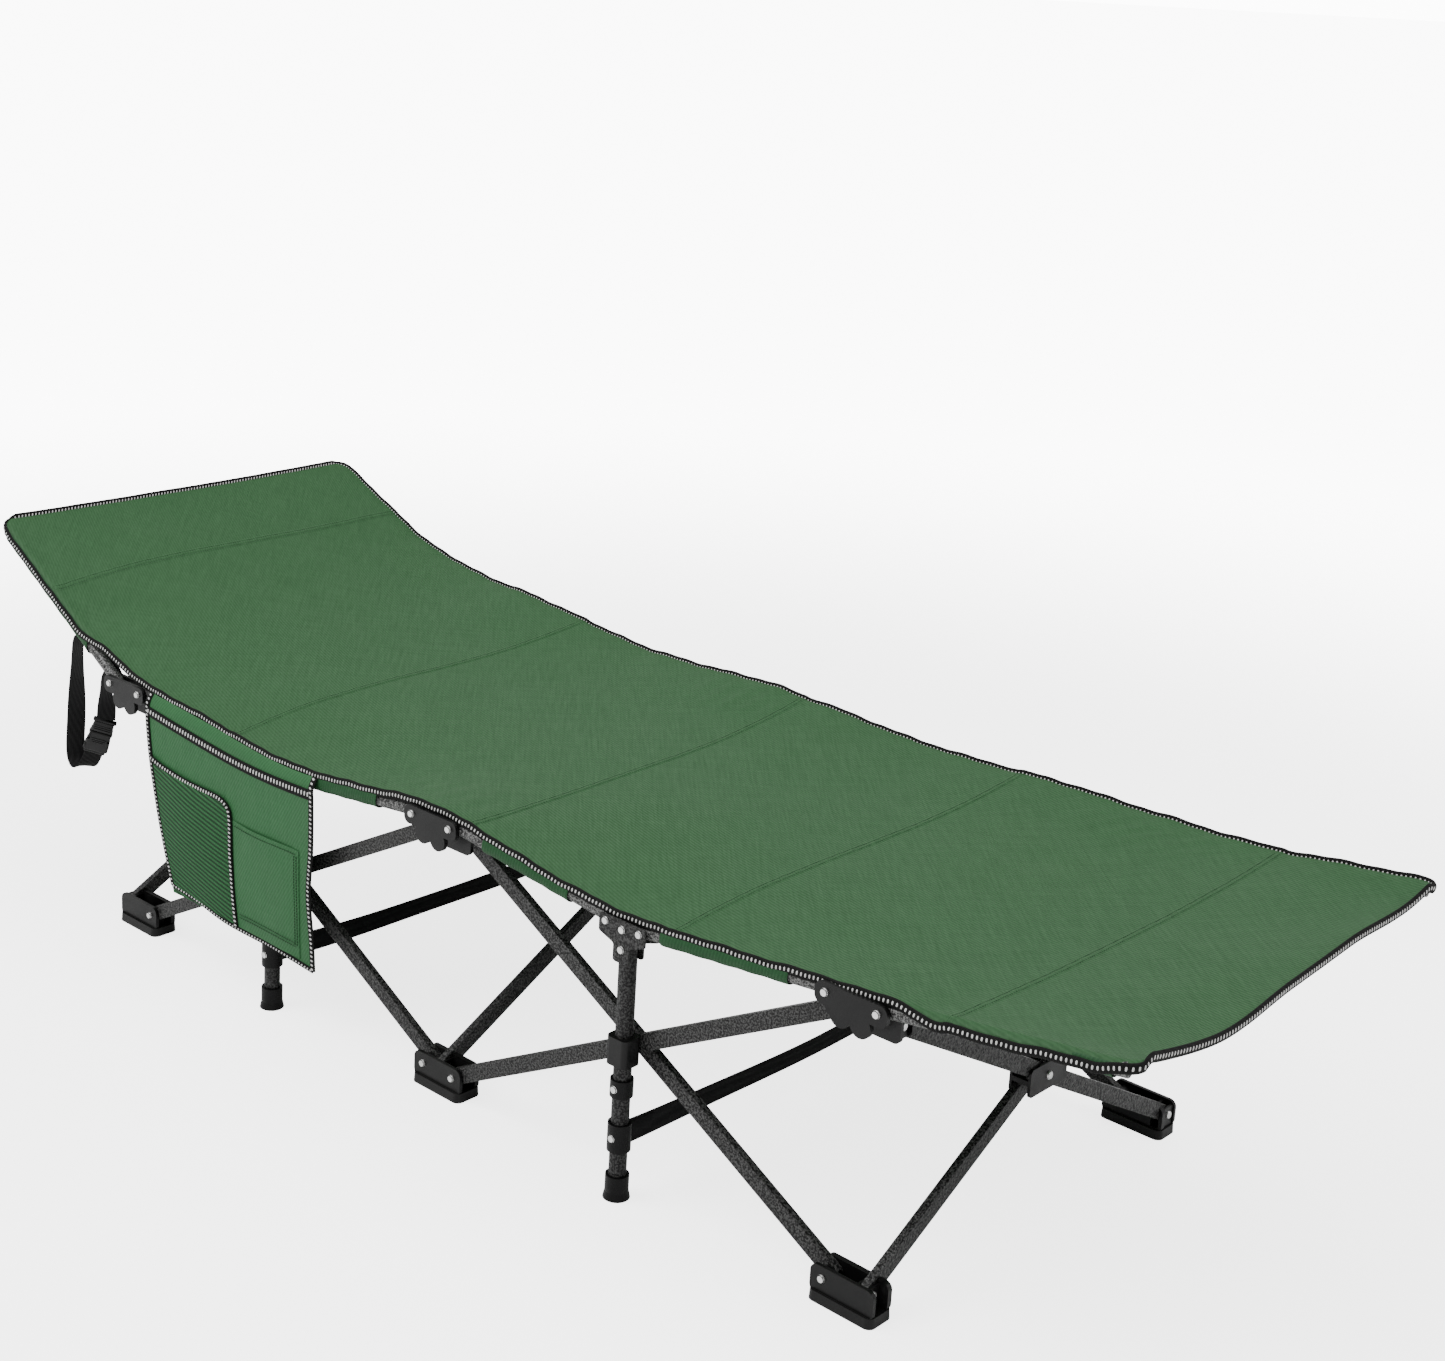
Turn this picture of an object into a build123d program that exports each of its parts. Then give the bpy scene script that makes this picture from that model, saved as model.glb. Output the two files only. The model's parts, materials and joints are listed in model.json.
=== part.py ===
"""A bundle-folding camp cot, modelled open.

X runs along the cot from its raised head end (-X) to its foot end (+X), Y runs across it and Z
is up. The origin is on the floor under the middle of the cot. The near side is at -Y.
All sizes are in millimetres.

The frame is a lattice of scissors. Six top hubs and six floor feet are joined by four scissors
along the sides and three across the cot. Every bar has the same length and the same slope, so
all of them fold by one angle, and each hub and foot stays level.
"""

import os
from math import acos, atan2, cos, degrees, hypot, radians, tan

from build123d import *

os.makedirs("parts", exist_ok=True)

# ---- driving dimensions ----------------------------------------------------------------------
hub_pitch = 633.5  # from one top hub to the next, along the cot
half_length = 950.0  # from the middle of the cot to either end of the deck
side_bar_offset = 26.5  # side bar pivots, each way from the middle of a hub or foot
rail_offset = 33.0  # rail pivots, each way from the middle of a hub
bracket_offset = 25.3  # rail pivots, each way from the middle of a leg
tube_setback = 10.0  # the end tubes stop this far short of the deck's ends
foot_pivot_z = 28.0
hub_pivot_z = 340.0
hub_rail_z = 362.6
bracket_rail_z = 334.8
head_rise = 30.0  # slope of the head tubes, degrees
foot_rise = 9.0  # slope of the foot tubes, degrees
folded_head_room = 116.6  # hub to hub along the cot when it is folded

bar_height = 20.0
bar_thickness = 9.5
bar_wall = 1.2
rail_radius = 8.0
leg_radius = 10.5
tube_wall = 1.2
pin_radius = 3.0
hole_radius = pin_radius + 0.05
end_margin = 1.0  # a tube's end is cut on a radius this much larger than its own
head_radius = 4.6
head_height = 2.5
deck_thickness = 3.0
deck_half_width = 321.0

# ---- layers of one side, as distances out from the middle of the cot ---------------------------
inner_wall = (273.0, 280.0)
inner_bar = (280.5, 290.0)
outer_bar = (290.5, 300.0)
outer_wall = (300.8, 305.5)
cheek = (322.8, 328.5)
rail_out = 314.0
bracket_rear = (301.2, 303.2)
bracket_front = (324.8, 326.8)
collar_layer = (300.6, 328.5)
leg_rivet_out = 328.6  # the outer faces of a leg's rivet heads, just inside the pocket
pocket_layer = (328.8, 331.0)
lug_thickness = 3.0
cross_bar_gap = 0.5  # from a cross bar's side to the wall or bar beside it

# ---- heights on a leg ---------------------------------------------------------------------------
cap_height = 29.0
strap_collar_z = (60.0, 94.0)
stop_collar_z = (127.5, 148.5)
slide_collar_z = (167.0, 201.0)
leg_top = 333.0

stations = {"head": -1, "middle": 0, "foot": 1}
sides = {"near": -1, "far": 1}
bays = {"head": -1, "foot": 1}

bar_span = hub_pitch - 2 * side_bar_offset
bar_rise = hub_pivot_z - foot_pivot_z
bar_length = hypot(bar_span, bar_rise)
bar_slope = atan2(bar_rise, bar_span)
fold_angle = acos((folded_head_room - 2 * side_bar_offset) / bar_length) - bar_slope
crossing_z = (hub_pivot_z + foot_pivot_z) / 2
cross_bar_out = bar_span / 2  # cross bar pivots, out from the middle of the cot
layer_step = (bar_thickness + cross_bar_gap) / 2 + 0.25


def side_plane(side, out):
    """The upright plane at one distance out on one side, drawn on in X and Z."""
    return Plane.XZ.offset(-side * out)


def side_plate(side, layer, outline, mode=Mode.ADD):
    """A flat plate that fills one layer of a side. outline draws it in X and Z."""
    with BuildSketch(side_plane(side, layer[0])) as profile:
        outline()
    extrude(profile.sketch, amount=-side * (layer[1] - layer[0]), mode=mode)


def cross_plate(x_low, x_high, outline, mode=Mode.ADD):
    """A flat plate from one X to another. outline draws it in Y and Z."""
    with BuildSketch(Plane.YZ.offset(x_low)) as profile:
        outline()
    extrude(profile.sketch, amount=x_high - x_low, mode=mode)


def side_pin(side, x, z, layer, radius=pin_radius, mode=Mode.ADD):
    """A round bar or hole across one side's layers."""
    middle = side * (layer[0] + layer[1]) / 2
    with Locations(Plane((x, middle, z), z_dir=(0, 1, 0))):
        Cylinder(radius, layer[1] - layer[0], mode=mode)


def cross_pin(x_low, x_high, y, z, radius=pin_radius, mode=Mode.ADD):
    """A round bar or hole along X."""
    with Locations(Plane(((x_low + x_high) / 2, y, z), z_dir=(1, 0, 0))):
        Cylinder(radius, x_high - x_low, mode=mode)


def upright_block(x_range, out_range, z_range, side, mode=Mode.ADD):
    """A plain block on one side, given by its limits in X, out and Z."""
    x_low, x_high = x_range
    out_low, out_high = out_range
    z_low, z_high = z_range
    centre = ((x_low + x_high) / 2, side * (out_low + out_high) / 2, (z_low + z_high) / 2)
    with Locations(centre):
        Box(x_high - x_low, out_high - out_low, z_high - z_low, mode=mode)


def rounded(x, z, width, height, radius):
    """A rounded rectangle in the sketch that is open."""
    with Locations((x, z)):
        RectangleRounded(width, height, radius)


def write(name, *pieces):
    """Give a node its name and write its pieces as one STEP file."""
    if len(pieces) == 1:
        node = pieces[0].part
    else:
        node = Compound(children=[solid for piece in pieces for solid in piece.part.solids()])
    node.label = name
    export_step(node, f"parts/{name}.step")


def cross_bar_x(station, end):
    """The middle of a cross bar's thickness: the low bar and the high bar of a near side pivot."""
    return stations[station] * hub_pitch + stations[station] * side_bar_offset + end * layer_step


def side_bar_pivots(station):
    """X and layer of each side bar that a hub or foot holds, for the hub and for the foot."""
    middle = stations[station] * hub_pitch
    towards_head, towards_foot = middle - side_bar_offset, middle + side_bar_offset
    hub = {"head": [(towards_foot, inner_bar)],
           "middle": [(towards_head, outer_bar), (towards_foot, inner_bar)],
           "foot": [(towards_head, outer_bar)]}
    foot = {"head": [(towards_foot, outer_bar)],
            "middle": [(towards_head, inner_bar), (towards_foot, outer_bar)],
            "foot": [(towards_head, inner_bar)]}
    return hub[station], foot[station]


def pivot_housing(side, pivots, lug_x, pivot_z, lug_z):
    """Spacers beside the side bars, and two lugs that hold the cross bar's end."""
    inner_gap = (inner_wall[1], outer_bar[0] - 0.3)
    outer_gap = (inner_bar[1] + 0.3, outer_wall[0])
    for x, layer in pivots:
        gap = inner_gap if layer == outer_bar else outer_gap
        side_pin(side, x, pivot_z, gap, radius=9.0)
    reach = bar_thickness / 2 + cross_bar_gap
    for low in (lug_x - reach - lug_thickness, lug_x + reach):
        between = (inner_wall[1], outer_wall[0])
        upright_block((low, low + lug_thickness), between, lug_z, side)


def pivot_pins(side, pivots, lug_x, pivot_z, layer):
    """The steel pins of a hub's or foot's side bars and cross bar."""
    reach = bar_thickness / 2 + cross_bar_gap + lug_thickness
    for x, _ in pivots:
        side_pin(side, x, pivot_z, layer)
        side_pin(side, x, pivot_z, (layer[0] - head_height, layer[0]), radius=head_radius)
        side_pin(side, x, pivot_z, (layer[1], layer[1] + head_height), radius=head_radius)
    cross_pin(lug_x - reach, lug_x + reach, side * cross_bar_out, pivot_z)


def make_hub(side_name, station):
    """A top hub: a pocket for the bars inside, and two cheeks with the rail tubes between."""
    side = sides[side_name]
    middle = stations[station] * hub_pitch
    pivots, _ = side_bar_pivots(station)
    lug_x = cross_bar_x(station, -side)
    slot_reach = bar_thickness / 2 + cross_bar_gap
    cheek_top = hub_rail_z + 6.0
    hinged = [] if station == "middle" else [middle + stations[station] * rail_offset]
    riveted = [middle - rail_offset, middle + rail_offset]

    with BuildPart() as body:
        side_plate(side, inner_wall, lambda: rounded(middle, 341.0, 88.0, 34.0, 6.0))
        side_plate(side, outer_wall,
                   lambda: rounded(middle, (326.0 + cheek_top) / 2, 96.0, cheek_top - 326.0, 8.0))
        upright_block((middle - 42, middle + 42), (inner_wall[0], outer_wall[1]), (352, 358), side)
        upright_block((middle - 7, middle + 7), (outer_wall[0], cheek[1]), (338, 357), side)

        def cheek_outline():
            rounded(middle, 361.0, 92.0, 24.0, 9.0)
            with Locations((middle - 12, 344.0), (middle + 14, 342.0)):
                Circle(13.0)
        side_plate(side, cheek, cheek_outline)
        pivot_housing(side, pivots, lug_x, hub_pivot_z, (326.0, 353.0))
        upright_block((lug_x - slot_reach, lug_x + slot_reach),
                      (inner_wall[0] - 1, inner_wall[1] + 1), (320.0, 351.5), side, Mode.SUBTRACT)
        for x, _ in pivots:
            side_pin(side, x, hub_pivot_z, (inner_wall[0], outer_wall[1]), mode=Mode.SUBTRACT)
        cross_pin(lug_x - 9, lug_x + 9, side * cross_bar_out, hub_pivot_z, mode=Mode.SUBTRACT)
        for x in riveted:
            side_pin(side, x, hub_rail_z, cheek, mode=Mode.SUBTRACT)
        for x in hinged:
            side_pin(side, x, hub_rail_z, outer_wall, mode=Mode.SUBTRACT)

    with BuildPart() as pins:
        layer = (inner_wall[0], outer_wall[1])
        for x, _ in pivots:
            side_pin(side, x, hub_pivot_z, layer)
            side_pin(side, x, hub_pivot_z, (layer[0] - head_height, layer[0]), radius=head_radius)
        reach = slot_reach + lug_thickness
        cross_pin(lug_x - reach, lug_x + reach, side * cross_bar_out, hub_pivot_z)
        for x in riveted:
            start = outer_wall[0] if x in hinged else cheek[0]
            side_pin(side, x, hub_rail_z, (start, cheek[1]))
            side_pin(side, x, hub_rail_z, (cheek[1], cheek[1] + head_height), radius=head_radius)
    write(f"hub_{side_name}_{station}", body, pins)


def make_foot(side_name, station):
    """A floor foot: a base with two walls that hold the lower ends of the bars."""
    side = sides[side_name]
    middle = stations[station] * hub_pitch
    _, pivots = side_bar_pivots(station)
    lug_x = cross_bar_x(station, side)
    slot_reach = bar_thickness / 2 + cross_bar_gap

    with BuildPart() as body:
        with BuildSketch():
            with Locations((middle, side * (inner_wall[0] + outer_wall[1]) / 2)):
                RectangleRounded(86.0, outer_wall[1] - inner_wall[0] + 8.0, 9.0)
        extrude(amount=12.0, taper=4.0)

        def wall_outline():
            rounded(middle, 25.0, 84.0, 34.0, 9.0)
        side_plate(side, inner_wall, wall_outline)
        side_plate(side, outer_wall, wall_outline)
        pivot_housing(side, pivots, lug_x, foot_pivot_z, (11.0, 38.0))
        upright_block((lug_x - slot_reach, lug_x + slot_reach),
                      (inner_wall[0] - 1, inner_wall[1] + 1), (14.0, 60.0), side, Mode.SUBTRACT)
        for x, _ in pivots:
            side_pin(side, x, foot_pivot_z, (inner_wall[0], outer_wall[1]), mode=Mode.SUBTRACT)
        cross_pin(lug_x - 9, lug_x + 9, side * cross_bar_out, foot_pivot_z, mode=Mode.SUBTRACT)

    with BuildPart() as pins:
        pivot_pins(side, pivots, lug_x, foot_pivot_z, (inner_wall[0], outer_wall[1]))
    write(f"foot_{side_name}_{station}", body, pins)


def make_side_bar(side_name, bay, place):
    """One flat tube of a side's scissors. The outer one rises towards the foot end."""
    side = sides[side_name]
    rise = 1 if place == "outer" else -1
    layer = outer_bar if place == "outer" else inner_bar
    centre = bays[bay] * hub_pitch / 2
    slope = degrees(bar_slope) * rise
    hollow = (layer[0] + bar_wall, layer[1] - bar_wall)

    def outline():
        with Locations(Location((centre, crossing_z), slope)):
            SlotCenterToCenter(bar_length, bar_height)

    def bore():
        with Locations(Location((centre, crossing_z), slope)):
            Rectangle(bar_length + 2 * bar_height, bar_height - 2 * bar_wall)

    with BuildPart() as bar:
        side_plate(side, layer, outline)
        side_plate(side, hollow, bore, mode=Mode.SUBTRACT)
        for step in (-1, 0, 1):
            x = centre + step * bar_span / 2
            z = crossing_z + step * rise * bar_rise / 2
            side_pin(side, x, z, layer, radius=hole_radius, mode=Mode.SUBTRACT)
    write(f"side_bar_{side_name}_{bay}_{place}", bar)


def make_cross_bar(station, low_side):
    """One flat tube of the scissors across the cot, named by the side of its lower end."""
    side = sides[low_side]
    middle = cross_bar_x(station, -1 if low_side == "near" else 1)
    low, high = middle - bar_thickness / 2, middle + bar_thickness / 2
    slope = -side * degrees(bar_slope)

    def outline():
        with Locations(Location((0, crossing_z), slope)):
            SlotCenterToCenter(bar_length, bar_height)

    def bore():
        with Locations(Location((0, crossing_z), slope)):
            Rectangle(bar_length + 2 * bar_height, bar_height - 2 * bar_wall)

    with BuildPart() as bar:
        cross_plate(low, high, outline)
        cross_plate(low + bar_wall, high - bar_wall, bore, mode=Mode.SUBTRACT)
        for step in (-1, 0, 1):
            y = step * cross_bar_out
            z = crossing_z - side * step * bar_rise / 2
            cross_pin(low, high, y, z, radius=hole_radius, mode=Mode.SUBTRACT)
    write(f"cross_bar_{station}_low_{low_side}", bar)


def make_cross_block(station):
    """The moulded block where two cross bars meet, with its rivet. It stays level."""
    middle = cross_bar_x(station, 0)
    inside = layer_step + bar_thickness / 2 + cross_bar_gap
    outside = inside + 3.5

    with BuildPart() as body:
        for low, high in ((middle - outside, middle - inside), (middle + inside, middle + outside)):
            cross_plate(low, high, lambda: rounded(0, crossing_z, 74.0, 34.0, 5.0))
        with Locations((middle, -34.5, crossing_z), (middle, 34.5, crossing_z)):
            Box(2 * inside, 5.0, 6.0)
        cross_pin(middle - outside, middle + outside, 0, crossing_z, mode=Mode.SUBTRACT)

    with BuildPart() as rivet:
        cross_pin(middle - outside, middle + outside, 0, crossing_z)
        for start in (middle - outside - head_height, middle + outside):
            cross_pin(start, start + head_height, 0, crossing_z, radius=head_radius)
    write(f"cross_block_{station}", body, rivet)


def make_slide_collar(side_name, bay):
    """The collar that slides on a leg and carries the middle pivot of a side's scissors."""
    side = sides[side_name]
    x = bays[bay] * hub_pitch / 2
    pin_layer = (inner_bar[0] - 0.3, collar_layer[0] + 2.0)

    with BuildPart() as body:
        with BuildSketch(Plane.XY.offset(slide_collar_z[0])):
            with Locations((x, side * (collar_layer[0] + collar_layer[1]) / 2)):
                RectangleRounded(31.0, collar_layer[1] - collar_layer[0], 7.0)
        extrude(amount=slide_collar_z[1] - slide_collar_z[0])
        with Locations((x, side * rail_out, crossing_z)):
            Cylinder(leg_radius + 0.1, 60.0, mode=Mode.SUBTRACT)
        side_pin(side, x, crossing_z, pin_layer, mode=Mode.SUBTRACT)

    with BuildPart() as pin:
        side_pin(side, x, crossing_z, pin_layer)
        side_pin(side, x, crossing_z, (pin_layer[0] - head_height, pin_layer[0]), radius=6.0)
    write(f"slide_collar_{side_name}_{bay}", body, pin)


def make_leg(side_name, bay):
    """A leg tube with its floor cap, its strap and stop collars and its rail bracket."""
    side = sides[side_name]
    x = bays[bay] * hub_pitch / 2
    axis_point = (x, side * rail_out)
    rivet_z = (332.0, 308.0)
    rail_x = (x - bracket_offset, x + bracket_offset)

    with BuildPart() as tube:
        with Locations((*axis_point, (6.0 + leg_top) / 2)):
            Cylinder(leg_radius, leg_top - 6.0)
            Cylinder(leg_radius - tube_wall, leg_top, mode=Mode.SUBTRACT)
        for z in rivet_z:
            side_pin(side, x, z, (300.0, 328.0), mode=Mode.SUBTRACT)

    with BuildPart() as cap:
        with Locations((*axis_point, 0)):
            Cone(16.0, 14.0, 9.0, align=(Align.CENTER, Align.CENTER, Align.MIN))
        with Locations((*axis_point, 9.0)):
            Cylinder(14.0, cap_height - 9.0, align=(Align.CENTER, Align.CENTER, Align.MIN))
        with Locations((*axis_point, 6.0)):
            Cylinder(leg_radius, 40.0, align=(Align.CENTER, Align.CENTER, Align.MIN),
                     mode=Mode.SUBTRACT)

    def ring(low, high, radius):
        with BuildPart() as collar:
            with Locations((*axis_point, (low + high) / 2)):
                Cylinder(radius, high - low)
                Cylinder(leg_radius, high - low + 2, mode=Mode.SUBTRACT)
            side_pin(side, x, (low + high) / 2, (rail_out, rail_out + radius), mode=Mode.SUBTRACT)
            side_pin(side, x, (low + high) / 2, (rail_out + radius - 1, rail_out + radius),
                     radius=head_radius, mode=Mode.SUBTRACT)
        with BuildPart() as rivet:
            side_pin(side, x, (low + high) / 2, (rail_out + leg_radius, rail_out + radius - 1))
            side_pin(side, x, (low + high) / 2, (rail_out + radius - 1, leg_rivet_out),
                     radius=head_radius)
        return collar, rivet

    def bracket_outline():
        with BuildLine() as edge:
            FilletPolyline(
                (x - 35, bracket_rail_z + 8), (x + 35, bracket_rail_z + 8),
                (x + 35, bracket_rail_z - 14), (x + 12, bracket_rail_z - 22),
                (x + 12, 292.0), (x - 12, 292.0), (x - 12, bracket_rail_z - 22),
                (x - 35, bracket_rail_z - 14), radius=4.0, close=True)
        make_face(edge.edges())

    with BuildPart() as bracket:
        for layer in (bracket_rear, bracket_front):
            side_plate(side, layer, bracket_outline)
            for z in rivet_z:
                side_pin(side, x, z, layer, mode=Mode.SUBTRACT)
            for rail in rail_x:
                side_pin(side, rail, bracket_rail_z, layer, mode=Mode.SUBTRACT)

    with BuildPart() as rivets:
        for place_x, place_z in ((x, rivet_z[0]), (x, rivet_z[1]),
                                 (rail_x[0], bracket_rail_z), (rail_x[1], bracket_rail_z)):
            side_pin(side, place_x, place_z, (bracket_rear[0], bracket_front[1]))
            side_pin(side, place_x, place_z, (bracket_front[1], leg_rivet_out), radius=head_radius)
    strap_ring = ring(*strap_collar_z, 13.9)
    stop_ring = ring(*stop_collar_z, 13.5)
    write(f"leg_{side_name}_{bay}", tube, cap, *strap_ring, *stop_ring, bracket, rivets)


def make_tube(name, side, pivot, tip, both_round):
    """A round tube in the rail layer. Its hinge end, or both its ends, are cut round."""
    run, rise = tip[0] - pivot[0], tip[1] - pivot[1]
    length = hypot(run, rise)
    slope = degrees(atan2(rise, run))
    centre = ((pivot[0] + tip[0]) / 2, (pivot[1] + tip[1]) / 2)
    axis_plane = Plane((centre[0], side * rail_out, centre[1]), z_dir=(run, 0, rise))

    def outline():
        with Locations(Location(centre, slope)):
            SlotCenterToCenter(length - 2 * end_margin, 2 * (rail_radius + end_margin))
        if not both_round:
            with Locations(Location((*tip, 0), slope)):
                Rectangle(length, 2 * (rail_radius + end_margin))

    with BuildPart() as tube:
        with Locations(axis_plane):
            Cylinder(rail_radius, length + 4 * rail_radius)
        side_plate(side, (rail_out - rail_radius, rail_out + rail_radius), outline,
                   mode=Mode.INTERSECT)
        with Locations(axis_plane):
            Cylinder(rail_radius - tube_wall, length + 4 * rail_radius, mode=Mode.SUBTRACT)
        if not both_round:
            end_plane = Plane((tip[0], side * rail_out, tip[1]), z_dir=(run, 0, rise))
            with Locations(end_plane):
                Box(40.0, 40.0, 40.0, align=(Align.CENTER, Align.CENTER, Align.MIN),
                    mode=Mode.SUBTRACT)
        ends = (pivot, tip) if both_round else (pivot,)
        for x, z in ends:
            side_pin(side, x, z, (300.0, 328.0), radius=hole_radius, mode=Mode.SUBTRACT)
    if both_round:
        write(name, tube)
        return
    with BuildPart() as plug:
        with Locations(end_plane):
            Cylinder(rail_radius - tube_wall, 14.0, align=(Align.CENTER, Align.CENTER, Align.MAX))
    write(name, tube, plug)


def deck_line():
    """The underside of the deck from the head end to the foot end, in X and Z."""
    lift = rail_radius + 0.5
    head_lift = lift / cos(radians(head_rise))
    foot_lift = lift / cos(radians(foot_rise))
    hinge = hub_pitch + rail_offset
    rise_head = (half_length - hinge) * tan(radians(head_rise))
    rise_foot = (half_length - hinge) * tan(radians(foot_rise))
    line = [(-half_length, hub_rail_z + rise_head + head_lift)]
    line.append((-hinge, hub_rail_z + head_lift))
    for hub_x, leg_x in ((-hub_pitch, -hub_pitch / 2), (0, hub_pitch / 2)):
        line.append((hub_x + rail_offset, hub_rail_z + lift))
        line.append((leg_x - bracket_offset, bracket_rail_z + lift))
        line.append((leg_x + bracket_offset, bracket_rail_z + lift))
        line.append((hub_x + hub_pitch - rail_offset, hub_rail_z + lift))
    line.append((hinge, hub_rail_z + foot_lift))
    line.append((half_length, hub_rail_z + rise_foot + foot_lift))
    return line


def height_on(line, x):
    """The height of a broken line at one X."""
    for (x_a, z_a), (x_b, z_b) in zip(line, line[1:]):
        if x_a <= x <= x_b:
            return z_a + (z_b - z_a) * (x - x_a) / (x_b - x_a)
    raise ValueError(f"{x} is off the line")


def make_deck_panel(name, x_low, x_high):
    """One length of the sewn deck, laid over the rails of both sides."""
    line = deck_line()
    inside = [(x, z) for x, z in line if x_low < x < x_high]
    under = [(x_low, height_on(line, x_low)), *inside, (x_high, height_on(line, x_high))]
    top = [(x, z + deck_thickness) for x, z in reversed(under)]
    with BuildPart() as panel:
        with BuildSketch(Plane.XZ.offset(-deck_half_width)):
            with BuildLine():
                Polyline(*under, *top, close=True)
            make_face()
        extrude(amount=2 * deck_half_width)
    write(name, panel)


def make_side_pocket():
    """The storage pocket that hangs outside the near rails at the head end."""
    low_left, low_right = (-524.0, 119.0), (-217.0, 94.0)
    top_right, top_left = (-217.0, 347.0), (-560.0, 362.0)

    def outline():
        with BuildLine() as edge:
            FilletPolyline(top_left, top_right, low_right, low_left, radius=10.0, close=True)
        make_face(edge.edges())

    with BuildPart() as pocket:
        side_plate(sides["near"], pocket_layer, outline)
    write("side_pocket", pocket)


def make_cross_strap(bay):
    """The webbing strap from one leg's strap collar to the other side's."""
    x = bays[bay] * hub_pitch / 2
    reach = rail_out - 15.0
    middle_z = (strap_collar_z[0] + strap_collar_z[1]) / 2
    with BuildPart() as strap:
        with Locations((x, 0, middle_z)):
            Box(1.6, 2 * reach, 25.0)
    write(f"cross_strap_{bay}", strap)


def make_carry_strap():
    """The carry strap's two lengths of webbing and, in a node of its own, its side release buckle."""
    side = sides["near"]
    buckle_z = (236.0, 292.0)
    strap_x = (-737.0, -711.0)
    with BuildPart() as strap:
        upright_block(strap_x, (316.0, 322.0), (buckle_z[1] + 0.3, 370.0), side)
        upright_block(strap_x, (316.0, 322.0), (212.0, buckle_z[0] - 0.3), side)
    write("carry_strap", strap)
    with BuildPart() as buckle:
        side_plate(side, (313.0, 325.0),
                   lambda: rounded(-724.0, sum(buckle_z) / 2, 33.0, buckle_z[1] - buckle_z[0], 5.0))
    write("carry_strap_buckle", buckle)


for side_name in sides:
    for station in stations:
        make_hub(side_name, station)
        make_foot(side_name, station)
    for bay in bays:
        make_side_bar(side_name, bay, "outer")
        make_side_bar(side_name, bay, "inner")
        make_slide_collar(side_name, bay)
        make_leg(side_name, bay)

for station in stations:
    make_cross_bar(station, "near")
    make_cross_bar(station, "far")
    make_cross_block(station)

for side_name, side in sides.items():
    number = 1
    for bay in bays:
        leg_x = bays[bay] * hub_pitch / 2
        for way in (-1, 1):
            pivot = (leg_x + way * bracket_offset, bracket_rail_z)
            tip = (leg_x + way * (hub_pitch / 2 - rail_offset), hub_rail_z)
            make_tube(f"rail_{side_name}_{number}", side, pivot, tip, both_round=True)
            number += 1
    hinge_x = hub_pitch + rail_offset
    run = half_length - tube_setback - hinge_x
    head_tip = (-hinge_x - run, hub_rail_z + run * tan(radians(head_rise)))
    foot_tip = (hinge_x + run, hub_rail_z + run * tan(radians(foot_rise)))
    make_tube(f"head_tube_{side_name}", side, (-hinge_x, hub_rail_z), head_tip, both_round=False)
    make_tube(f"foot_tube_{side_name}", side, (hinge_x, hub_rail_z), foot_tip, both_round=False)

panel_gap = 0.25
hinge_x = hub_pitch + rail_offset
joins = [-half_length, -hinge_x, -hub_pitch / 2, 0, hub_pitch / 2, hinge_x, half_length]
names = ["deck_head", "deck_1", "deck_2", "deck_3", "deck_4", "deck_foot"]
for name, low, high in zip(names, joins, joins[1:]):
    first = 0 if low == -half_length else panel_gap
    last = 0 if high == half_length else panel_gap
    make_deck_panel(name, low + first, high - last)

make_side_pocket()
for bay in bays:
    make_cross_strap(bay)
make_carry_strap()

print(f"bar length {bar_length:.2f}, slope {degrees(bar_slope):.3f}, fold {degrees(fold_angle):.3f}")
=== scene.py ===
import json
from bisect import bisect_right
from math import asin, cos, exp, pi, radians, sin, tan

import bmesh
import bpy
from mathutils import Matrix, Vector, noise

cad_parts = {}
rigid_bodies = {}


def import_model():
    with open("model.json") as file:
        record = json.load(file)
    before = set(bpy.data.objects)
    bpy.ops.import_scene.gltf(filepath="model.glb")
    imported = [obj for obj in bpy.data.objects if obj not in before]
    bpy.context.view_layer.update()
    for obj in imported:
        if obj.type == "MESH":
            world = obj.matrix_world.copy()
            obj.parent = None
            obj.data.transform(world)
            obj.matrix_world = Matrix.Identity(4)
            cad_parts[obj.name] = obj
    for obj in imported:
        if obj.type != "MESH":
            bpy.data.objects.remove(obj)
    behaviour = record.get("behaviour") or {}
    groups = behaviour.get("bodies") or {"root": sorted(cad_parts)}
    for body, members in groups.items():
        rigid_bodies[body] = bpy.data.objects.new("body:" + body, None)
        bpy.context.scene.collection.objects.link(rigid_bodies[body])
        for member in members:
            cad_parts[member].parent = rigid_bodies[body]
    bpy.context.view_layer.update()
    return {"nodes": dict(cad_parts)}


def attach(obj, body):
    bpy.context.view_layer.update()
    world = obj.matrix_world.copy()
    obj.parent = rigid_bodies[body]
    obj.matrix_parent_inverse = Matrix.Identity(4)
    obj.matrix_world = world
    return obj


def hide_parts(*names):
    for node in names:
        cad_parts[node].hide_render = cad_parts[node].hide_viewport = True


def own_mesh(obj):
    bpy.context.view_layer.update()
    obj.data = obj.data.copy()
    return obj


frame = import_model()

nodes = frame["nodes"]
print("frame loaded:", len(nodes), "parts")

# where the frame's own parts are, in metres
hubPitch = 0.6335
hubPinOut = 0.033            # from a hub's middle to its rail pins
bracketPinOut = 0.0253       # from a leg's middle to its rail pins
hinge = hubPitch + hubPinOut
railOut = 0.314
railRadius = 0.008
hubRailZ = 0.3626
bracketRailZ = 0.3348
headSlope = 30.0             # degrees that the head tubes rise
footSlope = 9.0              # and the foot tubes
clothEnd = 0.950             # how far the cloth runs from the middle
sideNames = {"near": -1, "far": 1}
stationNames = {"head": -1, "middle": 0, "foot": 1}


# ---- small helpers
def deselectAll():
    if bpy.context.object and bpy.context.object.mode != "OBJECT":
        bpy.ops.object.mode_set(mode="OBJECT")
    for item in bpy.context.scene.objects:
        item.select_set(False)


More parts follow.
